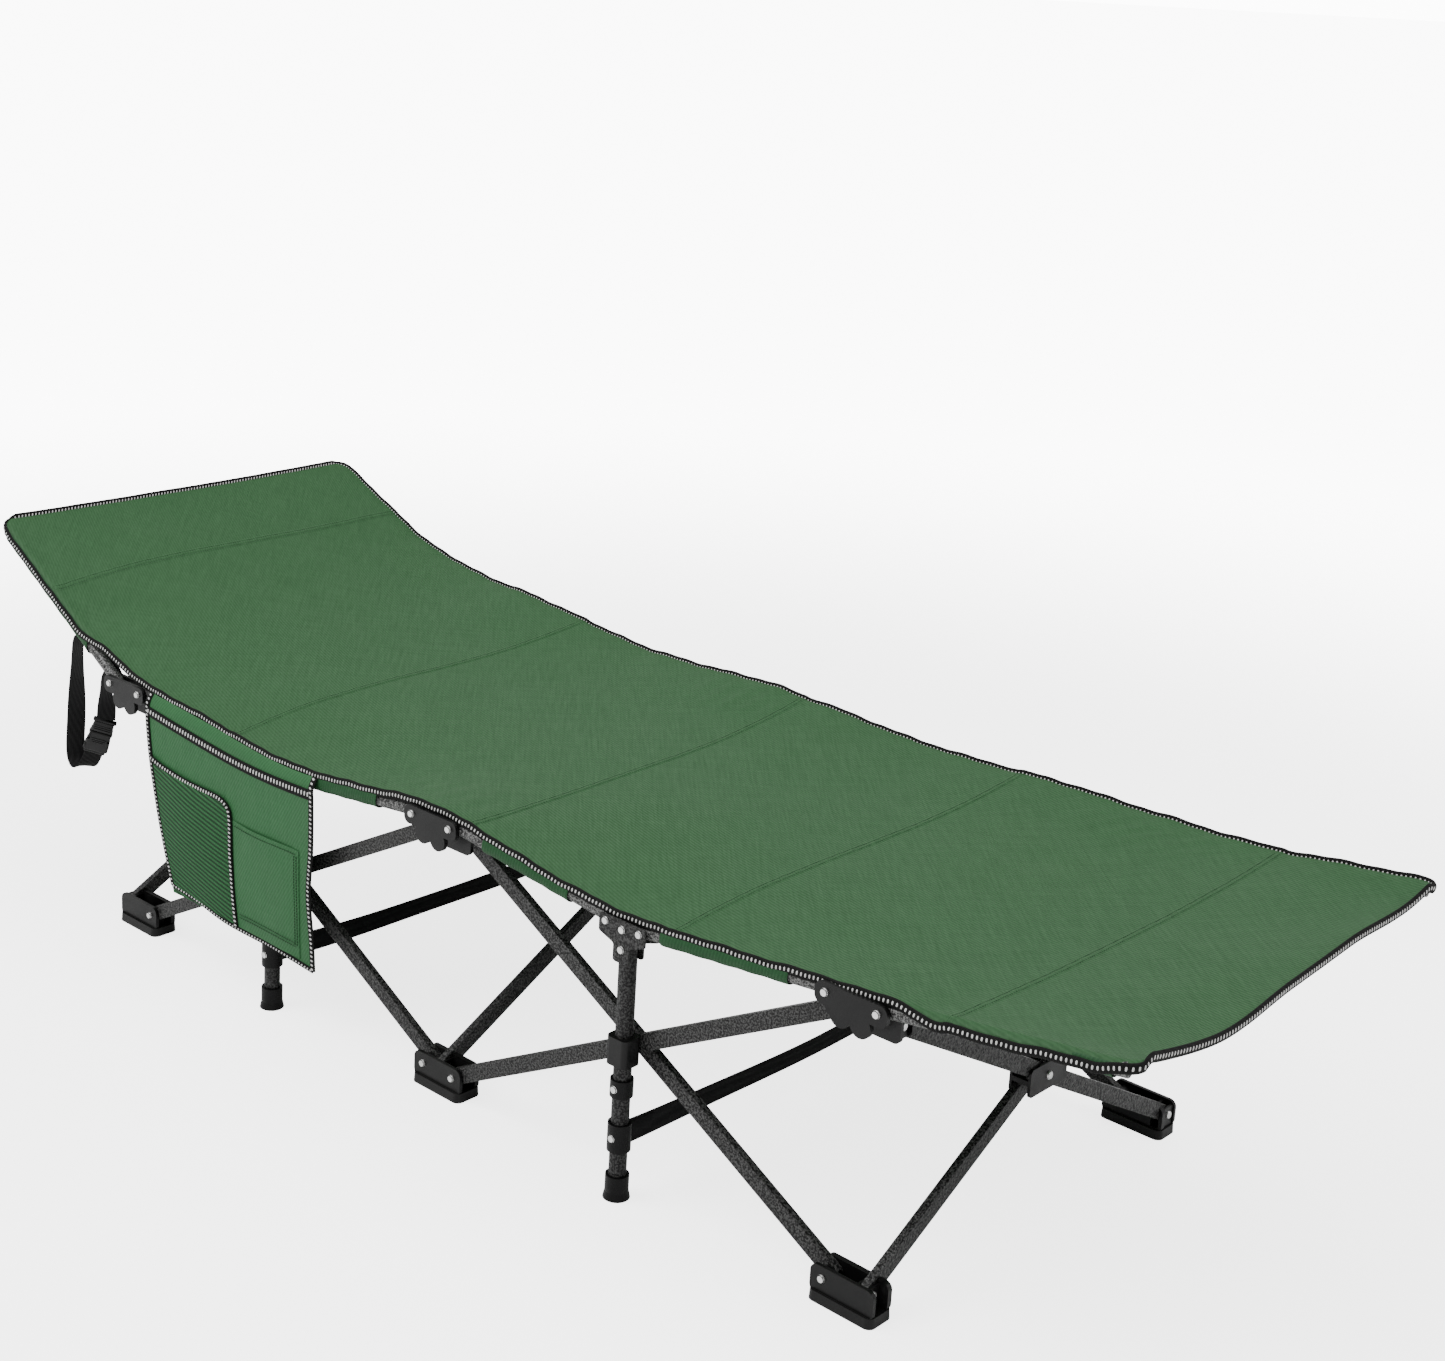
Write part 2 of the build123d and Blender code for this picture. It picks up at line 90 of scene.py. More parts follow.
def pick(*items):
    deselectAll()
    for item in items:
        item.select_set(True)
    bpy.context.view_layer.objects.active = items[0]


def addModifier(piece, kind, **settings):
    pick(piece)
    modifier = piece.modifiers.new(kind.title(), kind)
    for name, value in settings.items():
        setattr(modifier, name, value)
    bpy.ops.object.modifier_apply(modifier=modifier.name)


def joinPieces(pieces, name):
    pick(*pieces)
    if len(pieces) > 1:
        bpy.ops.object.join()
    bpy.context.object.name = name
    return bpy.context.object


def settle(piece):
    pick(piece)
    bpy.ops.object.transform_apply(location=True, rotation=True, scale=True)


def finishPiece(piece, name, body, materials=(), smooth=35):
    piece.name = name
    piece.data.name = name
    if materials:
        piece.data.materials.clear()
        for material in materials:
            piece.data.materials.append(material)
    pick(piece)
    bpy.ops.object.shade_smooth_by_angle(angle=radians(smooth))
    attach(piece, body)
    return piece


def ramp(value, low, high):
    share = min(1.0, max(0.0, (value - low) / (high - low)))
    return share * share * (3 - 2 * share)


def mix(first, second, share):
    return first + (second - first) * share


def smoothLine(line, x):
    i = min(len(line) - 2, max(0, bisect_right([p[0] for p in line], x) - 1))

    def slope(k):
        low, high = max(0, k - 1), min(len(line) - 1, k + 1)
        return (line[high][1] - line[low][1]) / (line[high][0] - line[low][0])
    step = line[i + 1][0] - line[i][0]
    t = (x - line[i][0]) / step
    return ((2 * t ** 3 - 3 * t ** 2 + 1) * line[i][1] + (t ** 3 - 2 * t ** 2 + t) * step * slope(i)
            + (3 * t ** 2 - 2 * t ** 3) * line[i + 1][1] + (t ** 3 - t ** 2) * step * slope(i + 1))


def gridPiece(name, rows, closed=False, capped=False):
    # a grid primitive with one row of points for each row given
    rows = [list(row) + [row[0]] if closed else list(row) for row in rows]
    deselectAll()
    bpy.ops.mesh.primitive_grid_add(x_subdivisions=len(rows[0]) - 1, y_subdivisions=len(rows) - 1, size=1)
    piece = bpy.context.object
    piece.name = name
    piece.data.vertices.foreach_set("co", [value for row in rows for point in row for value in point])
    piece.data.update()
    if closed or capped:
        bpy.ops.object.mode_set(mode="EDIT")
        bpy.ops.mesh.select_all(action="SELECT")
        bpy.ops.mesh.remove_doubles(threshold=0.000002)
        if capped:
            bpy.ops.mesh.select_all(action="DESELECT")
            bpy.ops.mesh.select_non_manifold()
            bpy.ops.mesh.fill_holes(sides=0)
        bpy.ops.mesh.select_all(action="SELECT")
        bpy.ops.mesh.normals_make_consistent(inside=False)
        bpy.ops.object.mode_set(mode="OBJECT")
    return piece


# ---- shader groups
def newGroup(name, inputs, outputs):
    group = bpy.data.node_groups.new(name, "ShaderNodeTree")
    for label, kind, value in inputs:
        socket = group.interface.new_socket(label, in_out="INPUT", socket_type=kind)
        if value is not None:
            socket.default_value = value
    for label, kind in outputs:
        group.interface.new_socket(label, in_out="OUTPUT", socket_type=kind)
    return group, group.nodes.new("NodeGroupInput"), group.nodes.new("NodeGroupOutput")


def addNode(tree, kind, links=None, **settings):
    node = tree.nodes.new(kind)
    for name, value in settings.items():
        setattr(node, name, value)
    for socket, source in (links or {}).items():
        if isinstance(source, bpy.types.NodeSocket):
            tree.links.new(source, node.inputs[socket])
        else:
            node.inputs[socket].default_value = source
    return node


def mathNode(tree, operation, first, second=None, third=None):
    links = {0: first}
    if second is not None:
        links[1] = second
    if third is not None:
        links[2] = third
    return addNode(tree, "ShaderNodeMath", links, operation=operation).outputs[0]


floatKind, vectorKind = "NodeSocketFloat", "NodeSocketVector"


def makeWeaveGroup():
    # crossed threads, thicker and thinner yarns, and long streaks of painted sheen
    group, inside, outside = newGroup("weave", [
        ("Vector", vectorKind, None), ("Threads", floatKind, 900.0), ("SheenAndSlubs", floatKind, 1.0)],
        [("Height", floatKind), ("Tone", floatKind)])
    scaled = addNode(group, "ShaderNodeVectorMath",
                     {0: inside.outputs["Vector"], "Scale": inside.outputs["Threads"]}, operation="SCALE")
    parts = addNode(group, "ShaderNodeSeparateXYZ", {0: scaled.outputs[0]})
    warp = mathNode(group, "SINE", mathNode(group, "MULTIPLY", parts.outputs[0], pi))
    weft = mathNode(group, "SINE", mathNode(group, "MULTIPLY", parts.outputs[1], pi))
    crossed = mathNode(group, "MULTIPLY", warp, weft)
    threads = mathNode(group, "MULTIPLY_ADD", crossed, 0.5, 0.5)
    long = addNode(group, "ShaderNodeMapping", {0: inside.outputs["Vector"], "Scale": (380.0, 20.0, 60.0)})
    sheenStreaks = addNode(group, "ShaderNodeTexNoise", {"Vector": long.outputs[0], "Scale": 1.0, "Detail": 3.0})
    cross = addNode(group, "ShaderNodeMapping", {0: inside.outputs["Vector"], "Scale": (15.0, 240.0, 60.0)})
    slubs = addNode(group, "ShaderNodeTexNoise", {"Vector": cross.outputs[0], "Scale": 1.0, "Detail": 2.0})
    # the long streaks are painted sheen and the cross noise is yarn slubs; both go into the tone as well as the
    # height
    both = mathNode(group, "ADD", mathNode(group, "MULTIPLY", sheenStreaks.outputs[0], 0.65),
                    mathNode(group, "MULTIPLY", slubs.outputs[0], 0.35))
    sheenAndSlubs = mathNode(group, "MULTIPLY", mathNode(group, "SUBTRACT", both, 0.5), inside.outputs["SheenAndSlubs"])
    slope = mathNode(group, "ADD", mathNode(group, "MULTIPLY", parts.outputs[0], 0.36),
                     mathNode(group, "MULTIPLY", parts.outputs[1], 0.22))
    rib = mathNode(group, "SINE", mathNode(group, "MULTIPLY", slope, pi))
    raised = mathNode(group, "MULTIPLY_ADD", rib, 0.3, mathNode(group, "MULTIPLY", threads, 0.4))
    group.links.new(mathNode(group, "ADD", raised, sheenAndSlubs), outside.inputs["Height"])
    shade = mathNode(group, "MULTIPLY_ADD", rib, 0.16, mathNode(group, "MULTIPLY_ADD", threads, 0.16, 0.42))
    group.links.new(mathNode(group, "ADD", shade, sheenAndSlubs), outside.inputs["Tone"])
    return group


def makeHammerGroup():
    # the small lumps and pale flecks of hammered enamel
    group, inside, outside = newGroup("hammerLumps", [
        ("Vector", vectorKind, None), ("Scale", floatKind, 420.0)],
        [("Height", floatKind), ("Fleck", floatKind)])
    lumps = addNode(group, "ShaderNodeTexVoronoi",
                    {"Vector": inside.outputs["Vector"], "Scale": inside.outputs["Scale"], "Randomness": 1.0},
                    feature="SMOOTH_F1")
    small = mathNode(group, "MULTIPLY", inside.outputs["Scale"], 1.5)
    flecks = addNode(group, "ShaderNodeTexNoise", {"Vector": inside.outputs["Vector"], "Scale": small,
                                                   "Detail": 2.0, "Roughness": 0.7})
    fleck = addNode(group, "ShaderNodeMapRange", {0: flecks.outputs[0], 1: 0.45, 2: 0.60})
    group.links.new(lumps.outputs["Distance"], outside.inputs["Height"])
    group.links.new(fleck.outputs[0], outside.inputs["Fleck"])
    return group


def makeGrainGroup():
    # the fine pebble of moulded plastic, with a few faint flow marks
    group, inside, outside = newGroup("mouldGrain", [
        ("Vector", vectorKind, None), ("Scale", floatKind, 900.0)],
        [("Height", floatKind), ("Tone", floatKind)])
    pebble = addNode(group, "ShaderNodeTexNoise", {"Vector": inside.outputs["Vector"],
                                                   "Scale": inside.outputs["Scale"], "Detail": 3.0})
    flow = addNode(group, "ShaderNodeTexNoise", {"Vector": inside.outputs["Vector"], "Scale": 34.0,
                                                 "Detail": 2.0, "Distortion": 0.8})
    group.links.new(pebble.outputs[0], outside.inputs["Height"])
    group.links.new(flow.outputs[0], outside.inputs["Tone"])
    return group


def makeDustGroup():
    # a mask of uneven handling and dust, stronger near the floor
    group, inside, outside = newGroup("dust", [
        ("Vector", vectorKind, None), ("Amount", floatKind, 0.3), ("Floor", floatKind, 0.04)],
        [("Mask", floatKind)])
    broad = addNode(group, "ShaderNodeTexNoise", {"Vector": inside.outputs["Vector"], "Scale": 11.0, "Detail": 5.0,
                                                  "Roughness": 0.62})
    spread = addNode(group, "ShaderNodeMapRange", {0: broad.outputs[0], 1: 0.42, 2: 0.72})
    parts = addNode(group, "ShaderNodeSeparateXYZ", {0: inside.outputs["Vector"]})
    low = addNode(group, "ShaderNodeMapRange", {0: parts.outputs[2], 1: inside.outputs["Floor"], 2: 0.0,
                                                3: 0.0, 4: 0.6})
    total = mathNode(group, "MULTIPLY", mathNode(group, "ADD", spread.outputs[0], low.outputs[0]),
                     inside.outputs["Amount"])
    group.links.new(total, outside.inputs["Mask"])
    return group


groups = {"weave": makeWeaveGroup(), "hammer": makeHammerGroup(), "grain": makeGrainGroup(),
          "dust": makeDustGroup()}


def place(tree, name, links):
    return addNode(tree, "ShaderNodeGroup", links, node_tree=groups[name])


def newMaterial(name):
    material = bpy.data.materials.new(name)
    material.use_nodes = True
    tree = material.node_tree
    tree.nodes.clear()
    shader = addNode(tree, "ShaderNodeBsdfPrincipled")
    addNode(tree, "ShaderNodeOutputMaterial", {0: shader.outputs[0]})
    coordinates = addNode(tree, "ShaderNodeTexCoord")
    return material, tree, shader, coordinates


def turned(tree, source, turn):
    return addNode(tree, "ShaderNodeMapping", {0: source, "Rotation": [radians(a) for a in turn]}).outputs[0]


def mixColour(tree, share, first, second):
    node = addNode(tree, "ShaderNodeMix", data_type="RGBA")
    for socket, value in ((0, share), (6, first), (7, second)):
        if isinstance(value, bpy.types.NodeSocket):
            tree.links.new(value, node.inputs[socket])
        else:
            node.inputs[socket].default_value = value if socket == 0 else (*value, 1.0)
    return node.outputs[2]


def addBump(tree, shader, height, distance, strength=1.0):
    bump = addNode(tree, "ShaderNodeBump", {"Height": height, "Distance": distance, "Strength": strength})
    tree.links.new(bump.outputs[0], shader.inputs["Normal"])


clothLooks = {"dark": (0.0112, 0.0465, 0.0140), "light": (0.0275, 0.0850, 0.0310), "dusty": (0.034, 0.078, 0.036),
              "threads": 1100.0, "bump": 0.00028}


def makeCloth(name, turn, sheenAndSlubs=1.15, dark=clothLooks["dark"], light=clothLooks["light"], dusting=0.12):
    material, tree, shader, coordinates = newMaterial(name)
    along = turned(tree, coordinates.outputs["Object"], turn)
    weave = place(tree, "weave", {"Vector": along, "Threads": clothLooks["threads"], "SheenAndSlubs": sheenAndSlubs})
    dust = place(tree, "dust", {"Vector": coordinates.outputs["Object"], "Amount": dusting, "Floor": 0.01})
    # the weave's tone holds painted sheen streaks besides the threads and the slubs
    woven = mixColour(tree, weave.outputs["Tone"], dark, light)
    colour = mixColour(tree, dust.outputs["Mask"], woven, clothLooks["dusty"])
    tree.links.new(colour, shader.inputs["Base Color"])
    rough = addNode(tree, "ShaderNodeMapRange", {0: weave.outputs["Tone"], 1: 0.2, 2: 0.8, 3: 0.62, 4: 0.46})
    tree.links.new(rough.outputs[0], shader.inputs["Roughness"])
    shader.inputs["Sheen Weight"].default_value = 0.03
    shader.inputs["Sheen Roughness"].default_value = 0.4
    shader.inputs["Specular IOR Level"].default_value = 0.15
    addBump(tree, shader, weave.outputs["Height"], clothLooks["bump"])
    return material


def makeWebbing(name, dark, light, threads, turn, bump=0.0005):
    material, tree, shader, coordinates = newMaterial(name)
    along = turned(tree, coordinates.outputs["Object"], turn)
    weave = place(tree, "weave", {"Vector": along, "Threads": threads, "SheenAndSlubs": 0.5})
    dust = place(tree, "dust", {"Vector": coordinates.outputs["Object"], "Amount": 0.12, "Floor": 0.02})
    woven = mixColour(tree, weave.outputs["Tone"], dark, light)
    tree.links.new(mixColour(tree, dust.outputs["Mask"], woven, (0.02, 0.02, 0.019)), shader.inputs["Base Color"])
    shader.inputs["Specular IOR Level"].default_value = 0.12
    rough = addNode(tree, "ShaderNodeMapRange", {0: weave.outputs["Tone"], 1: 0.2, 2: 0.8, 3: 0.8, 4: 0.6})
    tree.links.new(rough.outputs[0], shader.inputs["Roughness"])
    addBump(tree, shader, weave.outputs["Height"], bump)
    return material


def makeEnamel(name, dark, light, scale, bump, metallic, coat, dusting, blackBands=()):
    material, tree, shader, coordinates = newMaterial(name)
    lumps = place(tree, "hammer", {"Vector": coordinates.outputs["Object"], "Scale": scale})
    dust = place(tree, "dust", {"Vector": coordinates.outputs["Object"], "Amount": dusting, "Floor": 0.05})
    enamel = mixColour(tree, lumps.outputs["Fleck"], dark, light)
    colour = mixColour(tree, dust.outputs["Mask"], enamel, (0.060, 0.059, 0.057))
    rough = addNode(tree, "ShaderNodeMapRange", {0: lumps.outputs["Fleck"], 1: 0.0, 2: 1.0, 3: 0.42, 4: 0.27})
    height = lumps.outputs["Height"]
    if blackBands:
        # the cap and the collars on a leg are moulded plastic, each over its own height
        heights = addNode(tree, "ShaderNodeSeparateXYZ", {0: coordinates.outputs["Object"]}).outputs[2]
        mask = 0.0
        for low, high in blackBands:
            band = mathNode(tree, "COMPARE", heights, (low + high) / 2, (high - low) / 2)
            mask = band if mask == 0.0 else mathNode(tree, "ADD", mask, band)
        colour = mixColour(tree, mask, colour, (0.0022, 0.0022, 0.0023))
        height = mathNode(tree, "MULTIPLY", height, mathNode(tree, "SUBTRACT", 1.0, mask))
    tree.links.new(colour, shader.inputs["Base Color"])
    tree.links.new(rough.outputs[0], shader.inputs["Roughness"])
    shader.inputs["Specular IOR Level"].default_value = 0.16
    shader.inputs["Metallic"].default_value = metallic
    shader.inputs["Coat Weight"].default_value = coat
    shader.inputs["Coat Roughness"].default_value = 0.2
    addBump(tree, shader, height, bump, 0.8)
    return material


def makePlastic(name, dark, light, rough):
    material, tree, shader, coordinates = newMaterial(name)
    grain = place(tree, "grain", {"Vector": coordinates.outputs["Object"], "Scale": 1100.0})
    dust = place(tree, "dust", {"Vector": coordinates.outputs["Object"], "Amount": 0.16, "Floor": 0.03})
    moulded = mixColour(tree, grain.outputs["Tone"], dark, light)
    tree.links.new(mixColour(tree, dust.outputs["Mask"], moulded, (0.024, 0.024, 0.023)), shader.inputs["Base Color"])
    spread = addNode(tree, "ShaderNodeMapRange", {0: grain.outputs["Tone"], 1: 0.3, 2: 0.7,
                                                  3: rough - 0.08, 4: rough + 0.08})
    tree.links.new(spread.outputs[0], shader.inputs["Roughness"])
    shader.inputs["Specular IOR Level"].default_value = 0.22
    addBump(tree, shader, grain.outputs["Height"], 0.00012)
    return material


def makeSteel(name, colour):
    material, tree, shader, coordinates = newMaterial(name)
    grain = place(tree, "grain", {"Vector": coordinates.outputs["Object"], "Scale": 500.0})
    tone = mixColour(tree, grain.outputs["Tone"], [c * 0.82 for c in colour], colour)
    tree.links.new(tone, shader.inputs["Base Color"])
    rough = addNode(tree, "ShaderNodeMapRange", {0: grain.outputs["Height"], 1: 0.3, 2: 0.7, 3: 0.2, 4: 0.36})
    tree.links.new(rough.outputs[0], shader.inputs["Roughness"])
    shader.inputs["Metallic"].default_value = 0.85
    addBump(tree, shader, grain.outputs["Height"], 0.00006)
    return material


def makeNet(name):
    # knitted net: fine slanted cords over the green behind them, which shows through the holes as painted shade
    material, tree, shader, coordinates = newMaterial(name)
    along = turned(tree, coordinates.outputs["Object"], (90, 0, 0))
    slanted = turned(tree, along, (0, 0, -14))
    cords = addNode(tree, "ShaderNodeTexWave", {"Vector": slanted, "Scale": 52.0, "Distortion": 1.2, "Detail": 1.0,
                                                "Detail Scale": 0.4}, bands_direction="Y")
    holes = addNode(tree, "ShaderNodeTexWave", {"Vector": slanted, "Scale": 120.0, "Distortion": 0.6},
                    bands_direction="X")
    weave = place(tree, "weave", {"Vector": along, "Threads": 1500.0, "SheenAndSlubs": 0.4})
    shaded = mathNode(tree, "MULTIPLY_ADD", holes.outputs["Fac"], 0.22,
                      mathNode(tree, "MULTIPLY", cords.outputs["Fac"], 0.78))
    # the holes: the green behind the net, painted dark as shade
    open = mixColour(tree, weave.outputs["Tone"], (0.0012, 0.0060, 0.0022), (0.0040, 0.0180, 0.0065))
    cord = mixColour(tree, weave.outputs["Tone"], (0.0160, 0.084, 0.0270), (0.0390, 0.148, 0.0540))
    tree.links.new(mixColour(tree, shaded, open, cord), shader.inputs["Base Color"])
    shader.inputs["Roughness"].default_value = 0.62
    shader.inputs["Specular IOR Level"].default_value = 0.12
    addBump(tree, shader, shaded, 0.0009)
    return material


materials = {
    "deckCloth": makeCloth("deckCloth", (0, 0, -45)),
    "pocketCloth": makeCloth("pocketCloth", (90, 0, 0), 0.7,
                             (0.0130, 0.0660, 0.0215), (0.0330, 0.1220, 0.0440), 0.2),
    # the sleeves take the deck's green cloth painted darker, as shade under the deck's edge
    "shadedSleeveCloth": makeCloth("shadedSleeveCloth", (90, 0, 20), 0.8,
                             (0.0060, 0.0370, 0.0115), (0.0150, 0.0680, 0.0220), 0.15),
    "greenThread": makeWebbing("greenThread", (0.0050, 0.022, 0.0075), (0.0110, 0.044, 0.0150), 2600.0, (0, 0, 30)),
    "bindingTape": makeWebbing("bindingTape", (0.0015, 0.0015, 0.0015), (0.0050, 0.0050, 0.0049),
                               1700.0, (0, 0, 45)),
    "whiteThread": makeWebbing("whiteThread", (0.44, 0.44, 0.43), (0.70, 0.70, 0.69), 2600.0, (0, 0, 20)),
    "strapWebbing": makeWebbing("strapWebbing", (0.0018, 0.0018, 0.0019), (0.0070, 0.0070, 0.0072),
                                900.0, (90, 0, 45)),
    "pocketNet": makeNet("pocketNet"),
    "hammeredSteel": makeEnamel("hammeredSteel", (0.0020, 0.0020, 0.0021), (0.0660, 0.0660, 0.0650), 280.0, 0.0010,
                                0.0, 0.0, 0.05),
    "legSteel": makeEnamel("legSteel", (0.0020, 0.0020, 0.0021), (0.0480, 0.0480, 0.0475), 280.0, 0.0010,
                           0.0, 0.0, 0.05, ((-0.001, 0.0292), (0.0598, 0.0942), (0.1273, 0.1487))),
    "greyTube": makeEnamel("greyTube", (0.012, 0.012, 0.012), (0.170, 0.170, 0.167), 300.0, 0.0007, 0.0, 0.1, 0.06),
    "blackPlastic": makePlastic("blackPlastic", (0.0012, 0.0012, 0.0013), (0.0036, 0.0036, 0.0038), 0.36),
    "bucklePlastic": makePlastic("bucklePlastic", (0.0014, 0.0014, 0.0015), (0.0040, 0.0040, 0.0042), 0.32),
    "brightRivet": makeSteel("brightRivet", (0.86, 0.86, 0.85)),
}

# the frame keeps its own shapes and takes better finishes
finishes = (("hub_", "blackPlastic"), ("foot_tube", "greyTube"), ("foot_", "blackPlastic"),
            ("cross_block", "blackPlastic"), ("slide_collar", "blackPlastic"), ("side_bar", "hammeredSteel"),
            ("cross_bar", "hammeredSteel"), ("leg_", "legSteel"), ("rail_", "greyTube"),
            ("head_tube", "greyTube"), ("deck_", "deckCloth"), ("side_pocket", "pocketCloth"),
            ("cross_strap", "strapWebbing"), ("carry_strap_buckle", "bucklePlastic"),
            ("carry_strap", "strapWebbing"))
for nodeName, node in nodes.items():
    finish = next(material for start, material in finishes if nodeName.startswith(start))
    for materialSlot in node.material_slots:
        materialSlot.material = materials[finish]
print("materials made:", len(materials))


# ---- the sewn deck
deck = {
    "halfWidth": 0.3205, "innerHalf": 0.309, "thickness": 0.0013, "stepAlong": 0.0078, "columns": 58,
    "cornerRadius": 0.016, "endScallop": 0.004, "footBulge": 0.009, "footSag": 0.008, "wrapRadius": 0.0103,
    # across the half width, where the bound margin starts and how much of it there is
    "marginFrom": 0.95, "marginShare": 0.05, "marginColumns": 6,
    # the top of the cloth over the near rails, and along the middle
    "edgeLine": ((-0.950, 0.5385), (-0.860, 0.4905), (-0.790, 0.4520), (-0.749, 0.4300), (-0.700, 0.4095),
                 (-0.654, 0.3955), (-0.620, 0.3860), (-0.583, 0.3780), (-0.520, 0.3725), (-0.443, 0.3665),
                 (-0.380, 0.3600), (-0.317, 0.3550), (-0.255, 0.3545), (-0.200, 0.3585), (-0.137, 0.3650),
                 (-0.063, 0.3750), (0.000, 0.3795), (0.063, 0.3735), (0.147, 0.3625), (0.213, 0.3540),
                 (0.277, 0.3490), (0.317, 0.3480), (0.360, 0.3495), (0.425, 0.3550), (0.520, 0.3640),
                 (0.613, 0.3740), (0.660, 0.3775), (0.720, 0.3830), (0.772, 0.3895), (0.860, 0.4035),
                 (0.910, 0.4110), (0.950, 0.4175)),
    "middleLine": ((-0.950, 0.5370), (-0.860, 0.4930), (-0.780, 0.4550), (-0.700, 0.4230), (-0.640, 0.4040),
                   (-0.580, 0.3900), (-0.500, 0.3770), (-0.420, 0.3680), (-0.317, 0.3610), (-0.150, 0.3610),
                   (0.000, 0.3640), (0.150, 0.3590), (0.317, 0.3530), (0.450, 0.3560), (0.600, 0.3640),
                   (0.700, 0.3720), (0.800, 0.3820), (0.900, 0.3960), (0.950, 0.4040)),
    # how much higher the cloth's far edge stands than its near one
    "farLift": ((-0.950, 0.003), (-0.880, 0.008), (-0.780, 0.018), (-0.700, 0.029), (-0.600, 0.040),
                (-0.520, 0.044), (-0.400, 0.042), (-0.317, 0.040), (-0.200, 0.031), (0.000, 0.017),
                (0.150, 0.026), (0.317, 0.035), (0.450, 0.032), (0.600, 0.017), (0.700, 0.010),
                (0.800, 0.005), (0.950, 0.0)),
    "curve": 2.6,
    # each sewn seam: its middle, and how far its near end stands towards the foot end
    "seams": ((-0.818, 0.002), (-0.386, -0.016), (0.054, 0.014), (0.396, -0.020), (0.756, -0.016)),
    "seamRise": 0.0007, "seamRow": 0.0029,
}
deckLengths = (
    ("deckHead", "head_tube", ("deck_head",), -clothEnd, -0.6665),
    ("deckHubHead", "hub_{}_head", (), -0.6665, -0.6005),
    ("deckLength1", "rail_{}_1", ("deck_1",), -0.6005, -0.3420),
    ("deckBracketHead", "leg_{}_head", (), -0.3420, -0.2915),
    ("deckLength2", "rail_{}_2", ("deck_2",), -0.2915, -0.0330),
    ("deckHubMiddle", "hub_{}_middle", (), -0.0330, 0.0330),
    ("deckLength3", "rail_{}_3", ("deck_3",), 0.0330, 0.2915),
    ("deckBracketFoot", "leg_{}_foot", (), 0.2915, 0.3420),
    ("deckLength4", "rail_{}_4", ("deck_4",), 0.3420, 0.6005),
    ("deckHubFoot", "hub_{}_foot", (), 0.6005, 0.6665),
    ("deckFoot", "foot_tube", ("deck_foot",), 0.6665, clothEnd),
)


def bodyFor(pattern, side):
    return pattern.format(side) if "{}" in pattern else f"{pattern}_{side}"


def tubeZ(x):
    # the middle height of the rail or tube under the cloth
    if x > hinge:
        return hubRailZ + (x - hinge) * tan(radians(footSlope))
    if x < -hinge:
        return hubRailZ + (-hinge - x) * tan(radians(headSlope))
    away = abs(abs(x) - hubPitch / 2)
    share = min(1.0, max(0.0, (away - bracketPinOut) / (hubPitch / 2 - hubPinOut - bracketPinOut)))
    return mix(bracketRailZ, hubRailZ, share)


def wrapShare(x, side):
    # how far the cloth turns down over the outside of the near end tubes
    if side > 0:
        return 0.0
    if x < 0:
        return 0.7 * ramp(-x, 0.690, 0.760) * (1 - 0.6 * ramp(-x, 0.915, 0.946))
    return ramp(x, 0.685, 0.745) * (1 - 0.8 * ramp(x, 0.905, 0.944))


def edgeZ(x, side):
    lift = smoothLine(deck["farLift"], x) if side > 0 else 0.0
    return smoothLine(deck["edgeLine"], x) + lift


def seamAt(u):
    return min(deck["seams"], key=lambda seam: abs(seam[0] - u))


